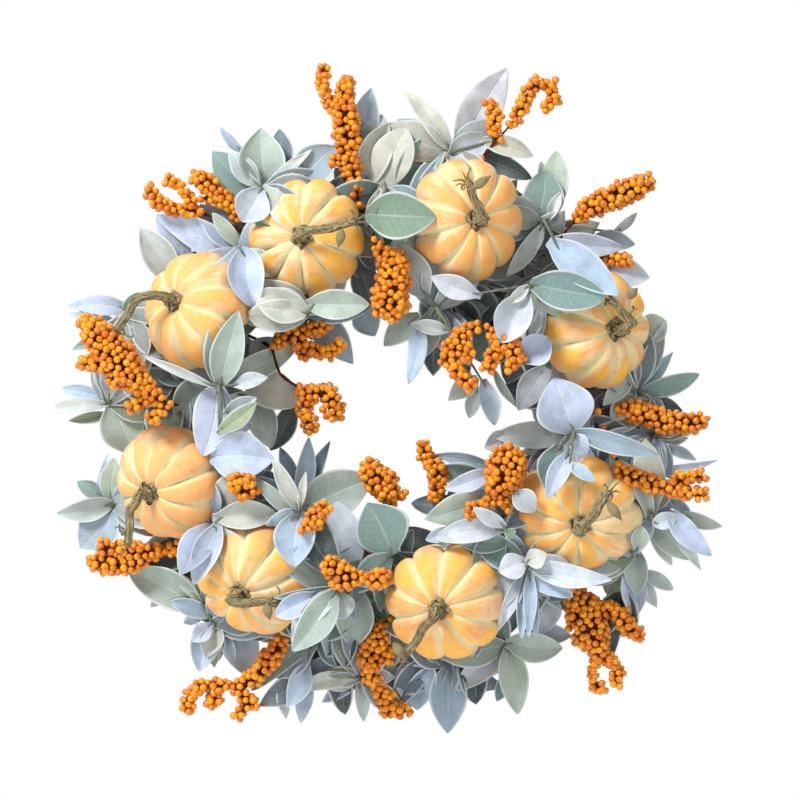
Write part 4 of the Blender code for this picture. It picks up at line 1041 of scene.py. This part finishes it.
@dataclass
class LeafSpray:
    """A spray of felt leaves on wire stalks."""

    node: str
    whorls: list
    first_number: int
    felt: bpy.types.Material
    twig: bpy.types.Material
    layout: Layout
    inner_leaves: int = 34
    tries: int = 1500
    gap_shade: float = 0.66

    def fill(self, leaves: bmesh.types.BMesh, wires: bmesh.types.BMesh, rng: random.Random,
             posts: list) -> int:
        """Add the smaller leaves that crowd the wires and the ring behind the main ones.

        Args:
            leaves: what the leaves are added to.
            wires: what their stalks are added to.
            rng: the source of chance.
            posts: riser, lowest and highest height, and tones of each whorl.

        Returns:
            How many inner leaves there are, the gap leaves not counted.
        """
        made = 0
        # Painted shade: the gap leaves are dark sheets deep in the gaps, given the darkest tones and a darkened
        # tone to stand in for the shade there.
        for across, up, tip_across, tip_up, width, height in GAPS.get(self.node, ()):
            root = spread(across, up)
            blade = Blade(root, root, spread(tip_across, tip_up), width * MM, 0.10,
                          rng.choice((Tone.SHADED_FELT, Tone.SLATE, Tone.TEAL)), rng.randrange(999),
                          height * MM)
            gather(leaves, blade.grow(rng, 6, 10, self.gap_shade))
        for _ in range(self.tries):
            if made >= self.inner_leaves * len(posts):
                break
            riser, foot, top, tones = rng.choice(posts)
            if rng.random() < 0.55:
                root, low = riser.copy(), rng.uniform(foot + 0.004, top - 0.002)
            else:
                turn = math.atan2(riser.y, riser.x) + rng.uniform(-0.30, 0.30)
                radius = RING_RADIUS + rng.uniform(-0.013, 0.013)
                root = Vector((math.cos(turn), math.sin(turn))) * radius
                low = rng.uniform(0.022, 0.030)
            turn = rng.uniform(0, math.tau)
            rise = math.radians(rng.uniform(-10, 38))
            length = rng.uniform(0.026, 0.056)
            heading = Vector((math.cos(turn), math.sin(turn)))
            tip = root + heading * (length * math.cos(rise))
            width = length * rng.uniform(0.34, 0.52)
            side = Vector((-heading.y, heading.x)) * width * 0.42
            samples = []
            for share in (0.3, 0.6, 0.95):
                for hand in (-1, 0, 1):
                    flat = root.lerp(tip, share) + side * hand * math.sin(math.pi * share)
                    samples.append(world(flat.x, flat.y, low + share * length * math.sin(rise)))
            if not self.layout.takes(samples):
                continue
            blade = Blade(root, root + heading * 0.003, tip, width, math.tan(rise),
                          rng.choice(tones), rng.randrange(999), low)
            # Painted shade: the lower an inner leaf lies, the darker its tone, on top of a random spread.
            depth = max(0.0, min(1.0, (low - 0.022) / 0.045))
            gather(leaves, blade.grow(rng, 2, 8, (0.42 + 0.50 * depth) * rng.uniform(0.85, 1.1)))
            gather(wires, blade.stalk())
            made += 1
        return made

    def build(self) -> int:
        """Make the leaves and their wires.

        Returns:
            The number of the next spray's first blade.
        """
        rng = random.Random(self.node)
        points = node_points(self.node)
        leaves = bmesh.new()
        inner = bmesh.new()
        wires = bmesh.new()
        number = self.first_number
        posts = []
        for spot, rows in self.whorls:
            riser = spread(*spot)
            heights = []
            for *places, width, layer, tone in rows:
                blade = Blade(riser, spread(*places[:2]), spread(*places[2:]), width * MM,
                              layer.value, tone, number)
                number += 1
                if not blade.settle(points):
                    LOG.warning("%s: blade %d not found", self.node, number - 1)
                    continue
                heights.append(blade.lift)
                gather(leaves, blade.grow(rng))
                gather(wires, blade.stalk())
            foot = self.wire(wires, riser, points, max(heights))
            posts.append((riser, foot, max(heights), [row[-1] for row in rows]))
        count = self.fill(inner, wires, rng, posts)
        LOG.info("%s: %d inner leaves", self.node, count)
        piece = self.thicken(leaves, "leaves")
        soft = piece.modifiers.new("soft", "SUBSURF")
        soft.levels = 1
        soft.render_levels = 1
        register(piece, "root", [self.node])
        if inner.faces:
            register(self.thicken(inner, "inner_leaves"), "root", [])
        stems = to_piece(wires, f"{self.node}_wires", self.twig)
        register(stems, "root", [])
        return number

    def thicken(self, sheets: bmesh.types.BMesh, suffix: str) -> bpy.types.Object:
        """Make a piece of thin sheets and give it the felt's thickness.

        Args:
            sheets: the leaves as open sheets.
            suffix: the end of the piece's name.

        Returns:
            The piece, with its modifier live.
        """
        piece = to_piece(sheets, f"{self.node}_{suffix}", self.felt)
        wall = piece.modifiers.new("thickness", "SOLIDIFY")
        wall.thickness = FELT_THICKNESS
        wall.offset = 0.0
        return piece

    def wire(self, wires: bmesh.types.BMesh, riser: Vector, points: np.ndarray, top: float) -> float:
        """Bend one wire: out of the ring along its foot, and up to the highest blade.

        Args:
            wires: what it is added to.
            riser: where it stands up.
            points: the CAD node's vertices in face coordinates.
            top: how high it goes.

        Returns:
            The height of its foot.
        """
        near = np.hypot(points[:, 0] - riser.x, points[:, 1] - riser.y) < 0.004
        foot = float(points[near][:, 2].min()) + 0.0015
        out = riser.normalized()
        ring = [out * (RING_RADIUS - 0.012), out * RING_RADIUS, out * (RING_RADIUS + 0.012)]
        lying = [world(spot.x, spot.y, foot) for spot in (ring if riser.length < 0.150 else ring[::-1])]
        corner = world(riser.x, riser.y, foot + 0.003)
        tip = world(riser.x, riser.y, top + 0.001)
        knees = lying[1:] if (lying[2] - corner).length < (lying[0] - corner).length else lying[1::-1]
        path = smooth_path([*knees[:1], knees[1].lerp(corner, 0.5), corner,
                            corner.lerp(tip, 0.5), tip], 28)
        gather(wires, sweep(path, lambda share, _: 1.5 * MM - 0.5 * MM * share, 7))
        return foot


@dataclass
class BerryPick:
    """Clusters of lacquered berries on dark branched twigs."""

    node: str
    glaze: bpy.types.Material
    twig: bpy.types.Material
    berry_radius: float = 0.0029
    spacing: float = 0.0043
    thinnest_packed: float = 0.0048
    batch_size: int = 40

    def shell(self) -> bmesh.types.BMesh:
        """A welded copy of the CAD node.

        Returns:
            The copy.
        """
        bm = bmesh.new()
        bm.from_mesh(frame["nodes"][self.node].data)
        bmesh.ops.remove_doubles(bm, verts=bm.verts[:], dist=2e-5)
        bm.normal_update()
        return bm

    def seats(self, bm: bmesh.types.BMesh, rng: random.Random) -> list:
        """Choose where the berries sit.

        Args:
            bm: the shell.
            rng: the source of chance.

        Returns:
            Middles of berries and the way each one faces.
        """
        tree = BVHTree.FromBMesh(bm)
        faces = [face for face in bm.faces if face.calc_area() > 1e-9]
        areas = [face.calc_area() for face in faces]
        tries = int(sum(areas) / self.spacing ** 2 * 60)
        taken = {}
        seats = []
        for face in rng.choices(faces, areas, k=tries):
            a, b, c = (vertex.co for vertex in face.verts[:3])
            s, t = rng.random(), rng.random()
            if s + t > 1:
                s, t = 1 - s, 1 - t
            point = a + (b - a) * s + (c - a) * t
            _, _, _, thick = tree.ray_cast(point - face.normal * 2e-4, -face.normal)
            if thick is None or thick < self.thinnest_packed:
                continue
            cell = tuple(int(value // self.spacing) for value in point)
            around = [(cell[0] + i, cell[1] + j, cell[2] + k)
                      for i in (-1, 0, 1) for j in (-1, 0, 1) for k in (-1, 0, 1)]
            if any((point - other).length < self.spacing for key in around
                   for other in taken.get(key, ())):
                continue
            taken.setdefault(cell, []).append(point)
            sink = self.berry_radius * rng.uniform(-0.40, 0.60)
            seats.append((point - face.normal * sink, face.normal.copy()))
        return seats

    def berries(self, seats: list, rng: random.Random) -> bmesh.types.BMesh:
        """Put a berry on each seat.

        Args:
            seats: middles and ways.
            rng: the source of chance.

        Returns:
            All the berries.
        """
        whole = bmesh.new()
        for start in range(0, len(seats), self.batch_size):
            batch = bmesh.new()
            spot = batch.verts.layers.float.new("spot")
            for middle, way in seats[start:start + self.batch_size]:
                lean = Vector((rng.uniform(-1, 1), rng.uniform(-1, 1), rng.uniform(-1, 1))) * 0.6
                turn = (way + lean).to_track_quat("Z", "Y").to_matrix().to_4x4()
                size = self.berry_radius * rng.uniform(0.84, 1.10)
                place = Matrix.Translation(middle) @ turn
                made = bmesh.ops.create_uvsphere(batch, u_segments=8, v_segments=6, radius=size,
                                                 matrix=place)
                end = max(made["verts"], key=lambda vertex: (vertex.co - middle).dot(way + lean))
                end[spot] = 1.0
            gather(whole, batch)
        return whole

    def core(self, bm: bmesh.types.BMesh) -> bmesh.types.BMesh:
        """Shrink the shell to the twigs that carry the berries.

        Args:
            bm: the shell.

        Returns:
            The same bmesh, shrunk where it was thick.
        """
        tree = BVHTree.FromBMesh(bm)
        moves = []
        for vertex in bm.verts:
            _, _, _, thick = tree.ray_cast(vertex.co - vertex.normal * 2e-4, -vertex.normal)
            thick = thick or 0.0
            moves.append(min(0.0026, 0.40 * thick) if thick > self.thinnest_packed else 0.0002)
        for vertex, move in zip(bm.verts, moves):
            vertex.co -= vertex.normal * move
        return bm

    def build(self) -> None:
        """Make the berries and the twigs."""
        rng = random.Random(self.node)
        shell = self.shell()
        seats = self.seats(shell, rng)
        piece = to_piece(self.berries(seats, rng), f"{self.node}_berries", self.glaze)
        register(piece, "root", [self.node])
        twigs = self.core(shell)
        twigs.loops.layers.uv.new("UVMap")
        stems = to_piece(twigs, f"{self.node}_twigs", self.twig)
        soft = stems.modifiers.new("soft", "SUBSURF")
        soft.levels = 1
        soft.render_levels = 1
        register(stems, "root", [])


@dataclass
class Pumpkin:
    """A ribbed pumpkin with its dried stem, tendrils and leaflet."""

    number: int
    middle: tuple
    blush: float
    shape: tuple
    lean: tuple
    bends: tuple
    tendrils: tuple
    leaflet: Optional[tuple]
    rind: bpy.types.Material
    fibre: bpy.types.Material
    lobes: int = 10

    def place(self) -> Matrix:
        """Where the pumpkin lies, in face coordinates.

        Returns:
            The matrix that puts an upright pumpkin in its place.
        """
        low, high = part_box(f"pumpkin_{self.number}")
        lean = Vector(self.lean) * MM
        tilt = math.asin(lean.length / (SEAT_HEIGHT + 0.006))
        height = CENTRE_HEIGHT - (low[1] + high[1]) / 2
        spot = spread(*self.middle)
        turn = Matrix.Rotation(tilt, 4, Vector((-lean.y, lean.x, 0)))
        return Matrix.Translation((spot.x, spot.y, height)) @ turn

    def body(self) -> bmesh.types.BMesh:
        """The lobed body with pinched grooves and a dimple at each end.

        Returns:
            The body, with the values that its finish reads.
        """
        rng = random.Random(self.number)
        sizes = [rng.uniform(0.86, 1.14) for _ in range(self.lobes)]
        place = FACE @ self.place()
        bm = bmesh.new()
        rib_layer = bm.verts.layers.float.new("rib")
        pole_layer = bm.verts.layers.float.new("pole")
        blush_layer = bm.verts.layers.float.new("blush")
        turn_layer = bm.verts.layers.float.new("turn")
        up_layer = bm.verts.layers.float.new("up")
        bmesh.ops.create_uvsphere(bm, u_segments=self.lobes * 12, v_segments=44, radius=1)
        for vertex in bm.verts:
            x, y, z = vertex.co
            out = math.hypot(x, y)
            turn = (math.atan2(y, x) / math.tau) % 1.0
            wander = 0.004 * math.sin(3 * z + self.number)
            lobe = (turn + wander) * self.lobes + 0.5
            inside = abs(lobe % 1.0 - 0.5) * 2
            swell = sizes[int(lobe) % self.lobes]
            deep = (0.0040 * inside ** 7 + 0.0026 * inside ** 2) * min(1, 1.5 * out)
            lump = noise.noise(Vector((x, y, z)) * 2.2 + Vector((self.number * 7, 0, 0))) * 0.0012
            wide = PUMPKIN_WIDTH / 2 + 0.0012 - deep + (swell - 1) * 0.004 * (1 - inside ** 2) + lump
            dip = 0.10 * PUMPKIN_HEIGHT * math.exp(-(out / 0.3) ** 2)
            high = z * (PUMPKIN_HEIGHT / 2 - 0.7 * deep) - math.copysign(dip, z)
            vertex.co = place @ Vector((x * wide * self.shape[0], y * wide * self.shape[1], high))
            vertex[blush_layer] = self.blush
            vertex[rib_layer] = inside
            vertex[pole_layer] = math.exp(-(out / 0.26) ** 2)
            vertex[turn_layer] = turn
            vertex[up_layer] = math.acos(max(-1.0, min(1.0, z))) / math.pi
        uv = bm.loops.layers.uv.new("UVMap")
        for face in bm.faces:
            turns = [loop.vert[turn_layer] for loop in face.loops]
            wraps = max(turns) - min(turns) > 0.6
            for loop in face.loops:
                shift = 1.0 if wraps and loop.vert[turn_layer] < 0.5 else 0.0
                loop[uv].uv = (loop.vert[turn_layer] + shift, loop.vert[up_layer])
        bmesh.ops.recalc_face_normals(bm, faces=bm.faces[:])
        return bm

    def stem_path(self) -> list:
        """Points of the stem in the world, as the CAD stem runs.

        Returns:
            The points, from the seat outwards.
        """
        place = self.place()
        axis = (place.to_3x3() @ Vector((0, 0, 1))).normalized()
        base = place @ Vector((0, 0, SEAT_HEIGHT))
        path = [base, base + axis * 0.004, base + axis * 0.010, base + axis * 0.017]
        above = path[-1].z
        for step, (across, up) in enumerate(self.bends):
            flat = spread(across, up)
            path.append(Vector((flat.x, flat.y, above + 0.004 + 0.002 * step)))
        return [FACE @ point for point in path]

    def stem(self) -> bmesh.types.BMesh:
        """The grooved, twisted stem with its star-shaped foot and frayed end.

        Returns:
            The stem, with its tendrils and leaflet.
        """
        path = self.stem_path()
        seed = self.number

        def radius(share: float, angle: float) -> float:
            """Radius of the stem: a starred flare, grooves, and a frayed end.

            Args:
                share: how far along.
                angle: the turn round the stem.

            Returns:
                The radius.
            """
            twist = angle + 2.6 * share
            star = 0.84 + 0.20 * math.cos(5 * angle + seed) + 0.10 * math.cos(9 * angle)
            flare = 6.4 * MM * math.exp(-(max(share - 0.07, 0.0) / 0.17) ** 2) * star
            ridge = 0.70 * MM * math.cos(5 * twist + seed) + 0.34 * MM * math.cos(12 * twist)
            knot = 0.55 * MM * math.sin(17 * share + seed) * math.cos(angle + 9 * share)
            return (3.9 - 1.3 * share) * MM + flare + ridge * (1 - 0.3 * share) + knot

        line = smooth_path(path, 60)
        for step, point in enumerate(line[8:], 8):
            point.x += 0.7 * MM * math.sin(0.55 * step + seed)
            point.z += 0.7 * MM * math.cos(0.43 * step + seed)
        whole = sweep(line, radius, 30)
        ahead = (line[-1] - line[-4]).normalized()
        for index in range(4):
            gather(whole, self.splinter(line[-2], ahead, index))
        for index, (across, up) in enumerate(self.tendrils):
            gather(whole, self.tendril(path, across, up, index))
        if self.leaflet:
            gather(whole, self.dry_leaflet(path))
        return whole

    def splinter(self, start: Vector, ahead: Vector, index: int) -> bmesh.types.BMesh:
        """A dry fibre that sticks out of the stem's end.

        Args:
            start: where it starts.
            ahead: the way the stem runs there.
            index: which fibre it is.

        Returns:
            The fibre.
        """
        turn = index * 1.7 + self.number
        out = Vector((math.cos(turn), 0.35 * math.sin(1.3 * turn), math.sin(turn)))
        length = (5.5 + 2.0 * math.sin(2.1 * turn)) * MM
        line = [start + out * 1.4 * MM,
                start + (ahead + out * 0.5) * length * 0.55 + out * 1.2 * MM,
                start + (ahead * 0.9 + out * 1.1) * length + out * MM]
        return sweep(smooth_path(line, 9), lambda share, _: (1.25 - 0.95 * share) * MM, 6)

    def tendril(self, path: list, across: float, up: float, index: int) -> bmesh.types.BMesh:
        """A thin curled tendril.

        Args:
            path: the stem's points.
            across: its end, across the face in millimetres.
            up: its end, up the face in millimetres.
            index: which tendril it is.

        Returns:
            The tendril.
        """
        start = path[-1].lerp(path[-2], 0.25 + 0.3 * index)
        end = Vector((across * MM, start.y - 0.003, up * MM - DROP))
        line = []
        for step in range(40):
            share = step / 39
            turn = share * math.tau * 1.6 + index
            coil = 2.6 * MM * math.sin(math.pi * share)
            line.append(start.lerp(end, share) + Vector((math.cos(turn), 0.5 * math.sin(2 * turn),
                                                         math.sin(turn))) * coil)
        return sweep(line, lambda share, _: (0.8 - 0.35 * share) * MM, 6)

    def dry_leaflet(self, path: list) -> bmesh.types.BMesh:
        """A withered leaflet that curls away from the stem.

        Args:
            path: the stem's points.

        Returns:
            A thin closed leaflet.
        """
        across, up, end_across, end_up = self.leaflet
        level = path[-1].y - 0.004
        root = Vector((across * MM, level, up * MM - DROP))
        tip = Vector((end_across * MM, level - 0.002, end_up * MM - DROP))
        heading = tip - root
        side = Vector((-heading.z, 0, heading.x)).normalized()
        bm = bmesh.new()
        bmesh.ops.create_grid(bm, x_segments=4, y_segments=10, size=1)
        for vertex in bm.verts:
            x, s = vertex.co.x, (vertex.co.y + 1) / 2
            half = 3.6 * MM * max(0.06, math.sin(math.pi * min(0.999, s ** 0.8)))
            spot = root + heading * s + side * half * x
            spot.y += 1.6 * MM * x * x - 2.5 * MM * math.sin(math.pi * s) + 0.8 * MM * math.sin(9 * s)
            vertex.co = spot
        sheet = bmesh.ops.extrude_face_region(bm, geom=bm.faces[:])["geom"]
        raised = [item for item in sheet if isinstance(item, bmesh.types.BMVert)]
        bmesh.ops.translate(bm, verts=raised, vec=(0, -0.5 * MM, 0))
        bmesh.ops.recalc_face_normals(bm, faces=bm.faces[:])
        return bm

    def build(self) -> None:
        """Make the pumpkin and its stem."""
        body = to_piece(self.body(), f"pumpkin_{self.number}_rind", self.rind)
        register(body, "root", [f"pumpkin_{self.number}"])
        stem = to_piece(self.stem(), f"pumpkin_{self.number}_stalk", self.fibre)
        register(stem, "root", [f"pumpkin_stem_{self.number}"])


@dataclass
class VineRing:
    """The twisted canes and the ties that bind them."""

    bark: bpy.types.Material
    wire: bpy.types.Material
    canes: int = 4
    twists: int = 3
    tie_turns: int = 3
    tie_points: int = 140
    tie_length_mm: float = 5.4

    def cane_path(self, index: int) -> list:
        """Centre line of one cane.

        Args:
            index: which cane it is.

        Returns:
            Points along the cane, in the world.
        """
        start = math.pi / 2 - STRAND_STRIDE * (8 + 4 * index)
        count = 30 * STRAND_POINTS
        line = []
        for step in range(count):
            clock = start + STRAND_STRIDE * (STRAND_POINTS - 1) * step / (count - 1)
            phase = self.twists * (clock - math.pi / 2) + index * math.tau / self.canes
            radius = RING_RADIUS + HELIX_RADIUS * math.cos(phase)
            height = CENTRE_HEIGHT - HELIX_RADIUS * math.sin(phase)
            line.append(world(radius * math.cos(clock), radius * math.sin(clock), height))
        return line[::2]

    def cane(self, index: int) -> bmesh.types.BMesh:
        """One barked cane with knots.

        Args:
            index: which cane it is.

        Returns:
            The cane.
        """
        knots = [0.08 + 0.115 * step + 0.02 * math.sin(5 * step + index) for step in range(8)]

        def radius(share: float, angle: float) -> float:
            """Radius with long ridges, roughness and knots.

            Args:
                share: how far along.
                angle: the turn round the cane.

            Returns:
                The radius.
            """
            place = Vector((math.cos(angle), math.sin(angle), share * 60 + 9 * index))
            rough = 0.28 * MM * noise.noise(place * 2.0)
            ridge = 0.16 * MM * math.cos(3 * angle + 40 * share)
            knot = sum(math.exp(-((share - spot) / 0.0035) ** 2) for spot in knots)
            return 3.65 * MM + rough + ridge + 0.35 * MM * knot

        return sweep(self.cane_path(index), radius, 16)

    def tie(self, clock: float) -> bmesh.types.BMesh:
        """Three turns of wire round the bundle.

        Args:
            clock: where on the ring, in degrees from +X.

        Returns:
            The tie.
        """
        angle = math.radians(clock)
        out = Vector((math.cos(angle), math.sin(angle), 0))
        run = Vector((-math.sin(angle), math.cos(angle), 0))
        line = []
        for step in range(self.tie_points):
            share = step / (self.tie_points - 1)
            turn = share * math.tau * self.tie_turns
            reach = TIE_RADIUS - 0.1 * MM
            spot = (out * (RING_RADIUS + reach * math.cos(turn)) + run * (share - 0.5) * self.tie_length_mm * MM
                    + Vector((0, 0, CENTRE_HEIGHT + reach * math.sin(turn))))
            line.append(FACE @ spot)
        return sweep(line, lambda share, _: 0.85 * MM, 8)

    def build(self) -> None:
        """Make the canes and the ties."""
        for index in range(self.canes):
            cane = to_piece(self.cane(index), f"vine_cane_{index + 1}", self.bark)
            register(cane, "root", [f"vine_strand_{index + 1}"])
        for index, clock in enumerate(TIE_CLOCK):
            tie = to_piece(self.tie(clock), f"tie_wire_{index + 1}", self.wire)
            register(tie, "root", [f"binding_tie_{index + 1}"])


@dataclass
class HangingLoop:
    """The wire eye, the twisted neck and the loop that goes over a nail."""

    wire: bpy.types.Material

    def ring(self, major: float, minor: float, turn: Matrix, centre: Vector) -> bmesh.types.BMesh:
        """A wire ring.

        Args:
            major: radius of its centre line.
            minor: radius of the wire.
            turn: how the ring is turned from lying flat.
            centre: its middle.

        Returns:
            The ring.
        """
        bm = bmesh.new()
        bmesh.ops.create_circle(bm, segments=12, radius=minor)
        bmesh.ops.rotate(bm, verts=bm.verts[:], cent=(0, 0, 0),
                         matrix=Matrix.Rotation(math.pi / 2, 3, "X"))
        bmesh.ops.translate(bm, verts=bm.verts[:], vec=(major, 0, 0))
        bmesh.ops.spin(bm, geom=bm.edges[:], cent=(0, 0, 0), axis=(0, 0, 1), angle=math.tau,
                       steps=48, use_merge=True)
        bmesh.ops.remove_doubles(bm, verts=bm.verts[:], dist=1e-6)
        bmesh.ops.transform(bm, verts=bm.verts[:], matrix=Matrix.Translation(centre) @ turn)
        bmesh.ops.recalc_face_normals(bm, faces=bm.faces[:])
        return bm

    def build(self) -> None:
        """Make the loop."""
        whole = self.ring(EYE_RADIUS, 1.1 * MM, Matrix.Rotation(math.pi / 2, 4, "Y"), PIVOT)
        middle = PIVOT + Vector((0, 0, LOOP_CENTRE))
        gather(whole, self.ring(LOOP_RADIUS, 1.1 * MM, Matrix.Rotation(math.pi / 2, 4, "X"), middle))
        for hand in (0, math.pi):
            line = []
            for step in range(40):
                share = step / 39
                turn = share * math.tau * 1.5 + hand
                height = EYE_RADIUS - 0.3 * MM + share * 6.6 * MM
                line.append(PIVOT + Vector((0.75 * MM * math.cos(turn), 0.75 * MM * math.sin(turn),
                                            height)))
            gather(whole, sweep(line, lambda share, _: 0.85 * MM, 8))
        piece = to_piece(whole, "hanging_loop_wire", self.wire)
        register(piece, "loop", ["hanging_loop"])


@dataclass
class Studio:
    """Pale floor, soft lights and the camera."""

    distance: float = 4.0
    view_width: float = 0.592
    offset: tuple = (0.0112, 0.0015)
    ambient: float = 0.55
    lights: tuple = field(default=(
        ("key", (-1.7, -1.7, 2.0), 1.0, 112.0), ("fill", (1.9, -2.2, 0.2), 2.0, 10.0),
        ("back", (0.6, 2.4, 1.2), 1.6, 36.0)))

    def build(self) -> None:
        """Set the floor, the lights, the world and the camera."""
        middle = Vector((self.offset[0], -0.06, self.offset[1] - DROP))
        bm = bmesh.new()
        bmesh.ops.create_grid(bm, x_segments=1, y_segments=1, size=3.0)
        bmesh.ops.translate(bm, verts=bm.verts[:], vec=(0, 0, -DROP - 0.62))
        floor = to_piece(bm, "floor", Plaster().dress())
        for name, place, size, power in self.lights:
            lamp = bpy.data.lights.new(name, "AREA")
            lamp.shape = "DISK"
            lamp.size = size
            lamp.energy = power
            light = bpy.data.objects.new(name, lamp)
            light.location = middle + Vector(place)
            light.rotation_euler = (-Vector(place)).to_track_quat("-Z", "Y").to_euler()
            bpy.context.scene.collection.objects.link(light)
        sky = bpy.data.worlds.new("studio")
        sky.use_nodes = True
        tree = sky.node_tree
        background = tree.nodes["Background"]
        background.inputs["Color"].default_value = (1.0, 1.0, 1.0, 1.0)
        seen = tree.nodes.new("ShaderNodeLightPath").outputs["Is Camera Ray"]
        level = tree.nodes.new("ShaderNodeMapRange")
        level.inputs["To Min"].default_value = self.ambient
        level.inputs["To Max"].default_value = 1.0
        tree.links.new(seen, level.inputs["Value"])
        tree.links.new(level.outputs["Result"], background.inputs["Strength"])
        bpy.context.scene.world = sky
        bpy.context.scene.view_settings.view_transform = "Standard"
        data = bpy.data.cameras.new("camera")
        data.sensor_width = 36.0
        data.lens = 36.0 * self.distance / self.view_width
        data.clip_end = 50.0
        camera = bpy.data.objects.new("camera", data)
        camera.location = middle + Vector((0, -self.distance, 0))
        camera.rotation_euler = (math.radians(90), 0, 0)
        bpy.context.scene.collection.objects.link(camera)
        bpy.context.scene.camera = camera


def main() -> None:
    """Build the wreath piece by piece."""
    logging.basicConfig(level=logging.INFO, format="%(message)s")
    felt = Felt().dress()
    stalks = Bark("stalk_felt", (80, 88, 74), (138, 148, 130)).dress()
    twig = Bark("berry_twig", (44, 18, 8), (92, 40, 14)).dress()
    fibre = Bark("dried_fibre", (72, 60, 38), (172, 158, 118), 18.0).dress()
    bark = Bark("vine_bark", (44, 27, 17), (122, 84, 56), 8.0).dress()
    wire = Wire().dress()
    rind = PaintedRind().dress()
    glaze = Glaze().dress()
    VineRing(bark, wire).build()
    HangingLoop(wire).build()
    number = 0
    layout = Layout()
    for node, whorls in SPRAYS.items():
        number = LeafSpray(node, whorls, number, felt, stalks, layout).build()
    for node in PICKS:
        BerryPick(node, glaze, twig).build()
    for index, row in enumerate(PUMPKINS):
        Pumpkin(index + 1, *row, rind, fibre).build()
    Studio().build()


if __name__ == "__main__":
    main()
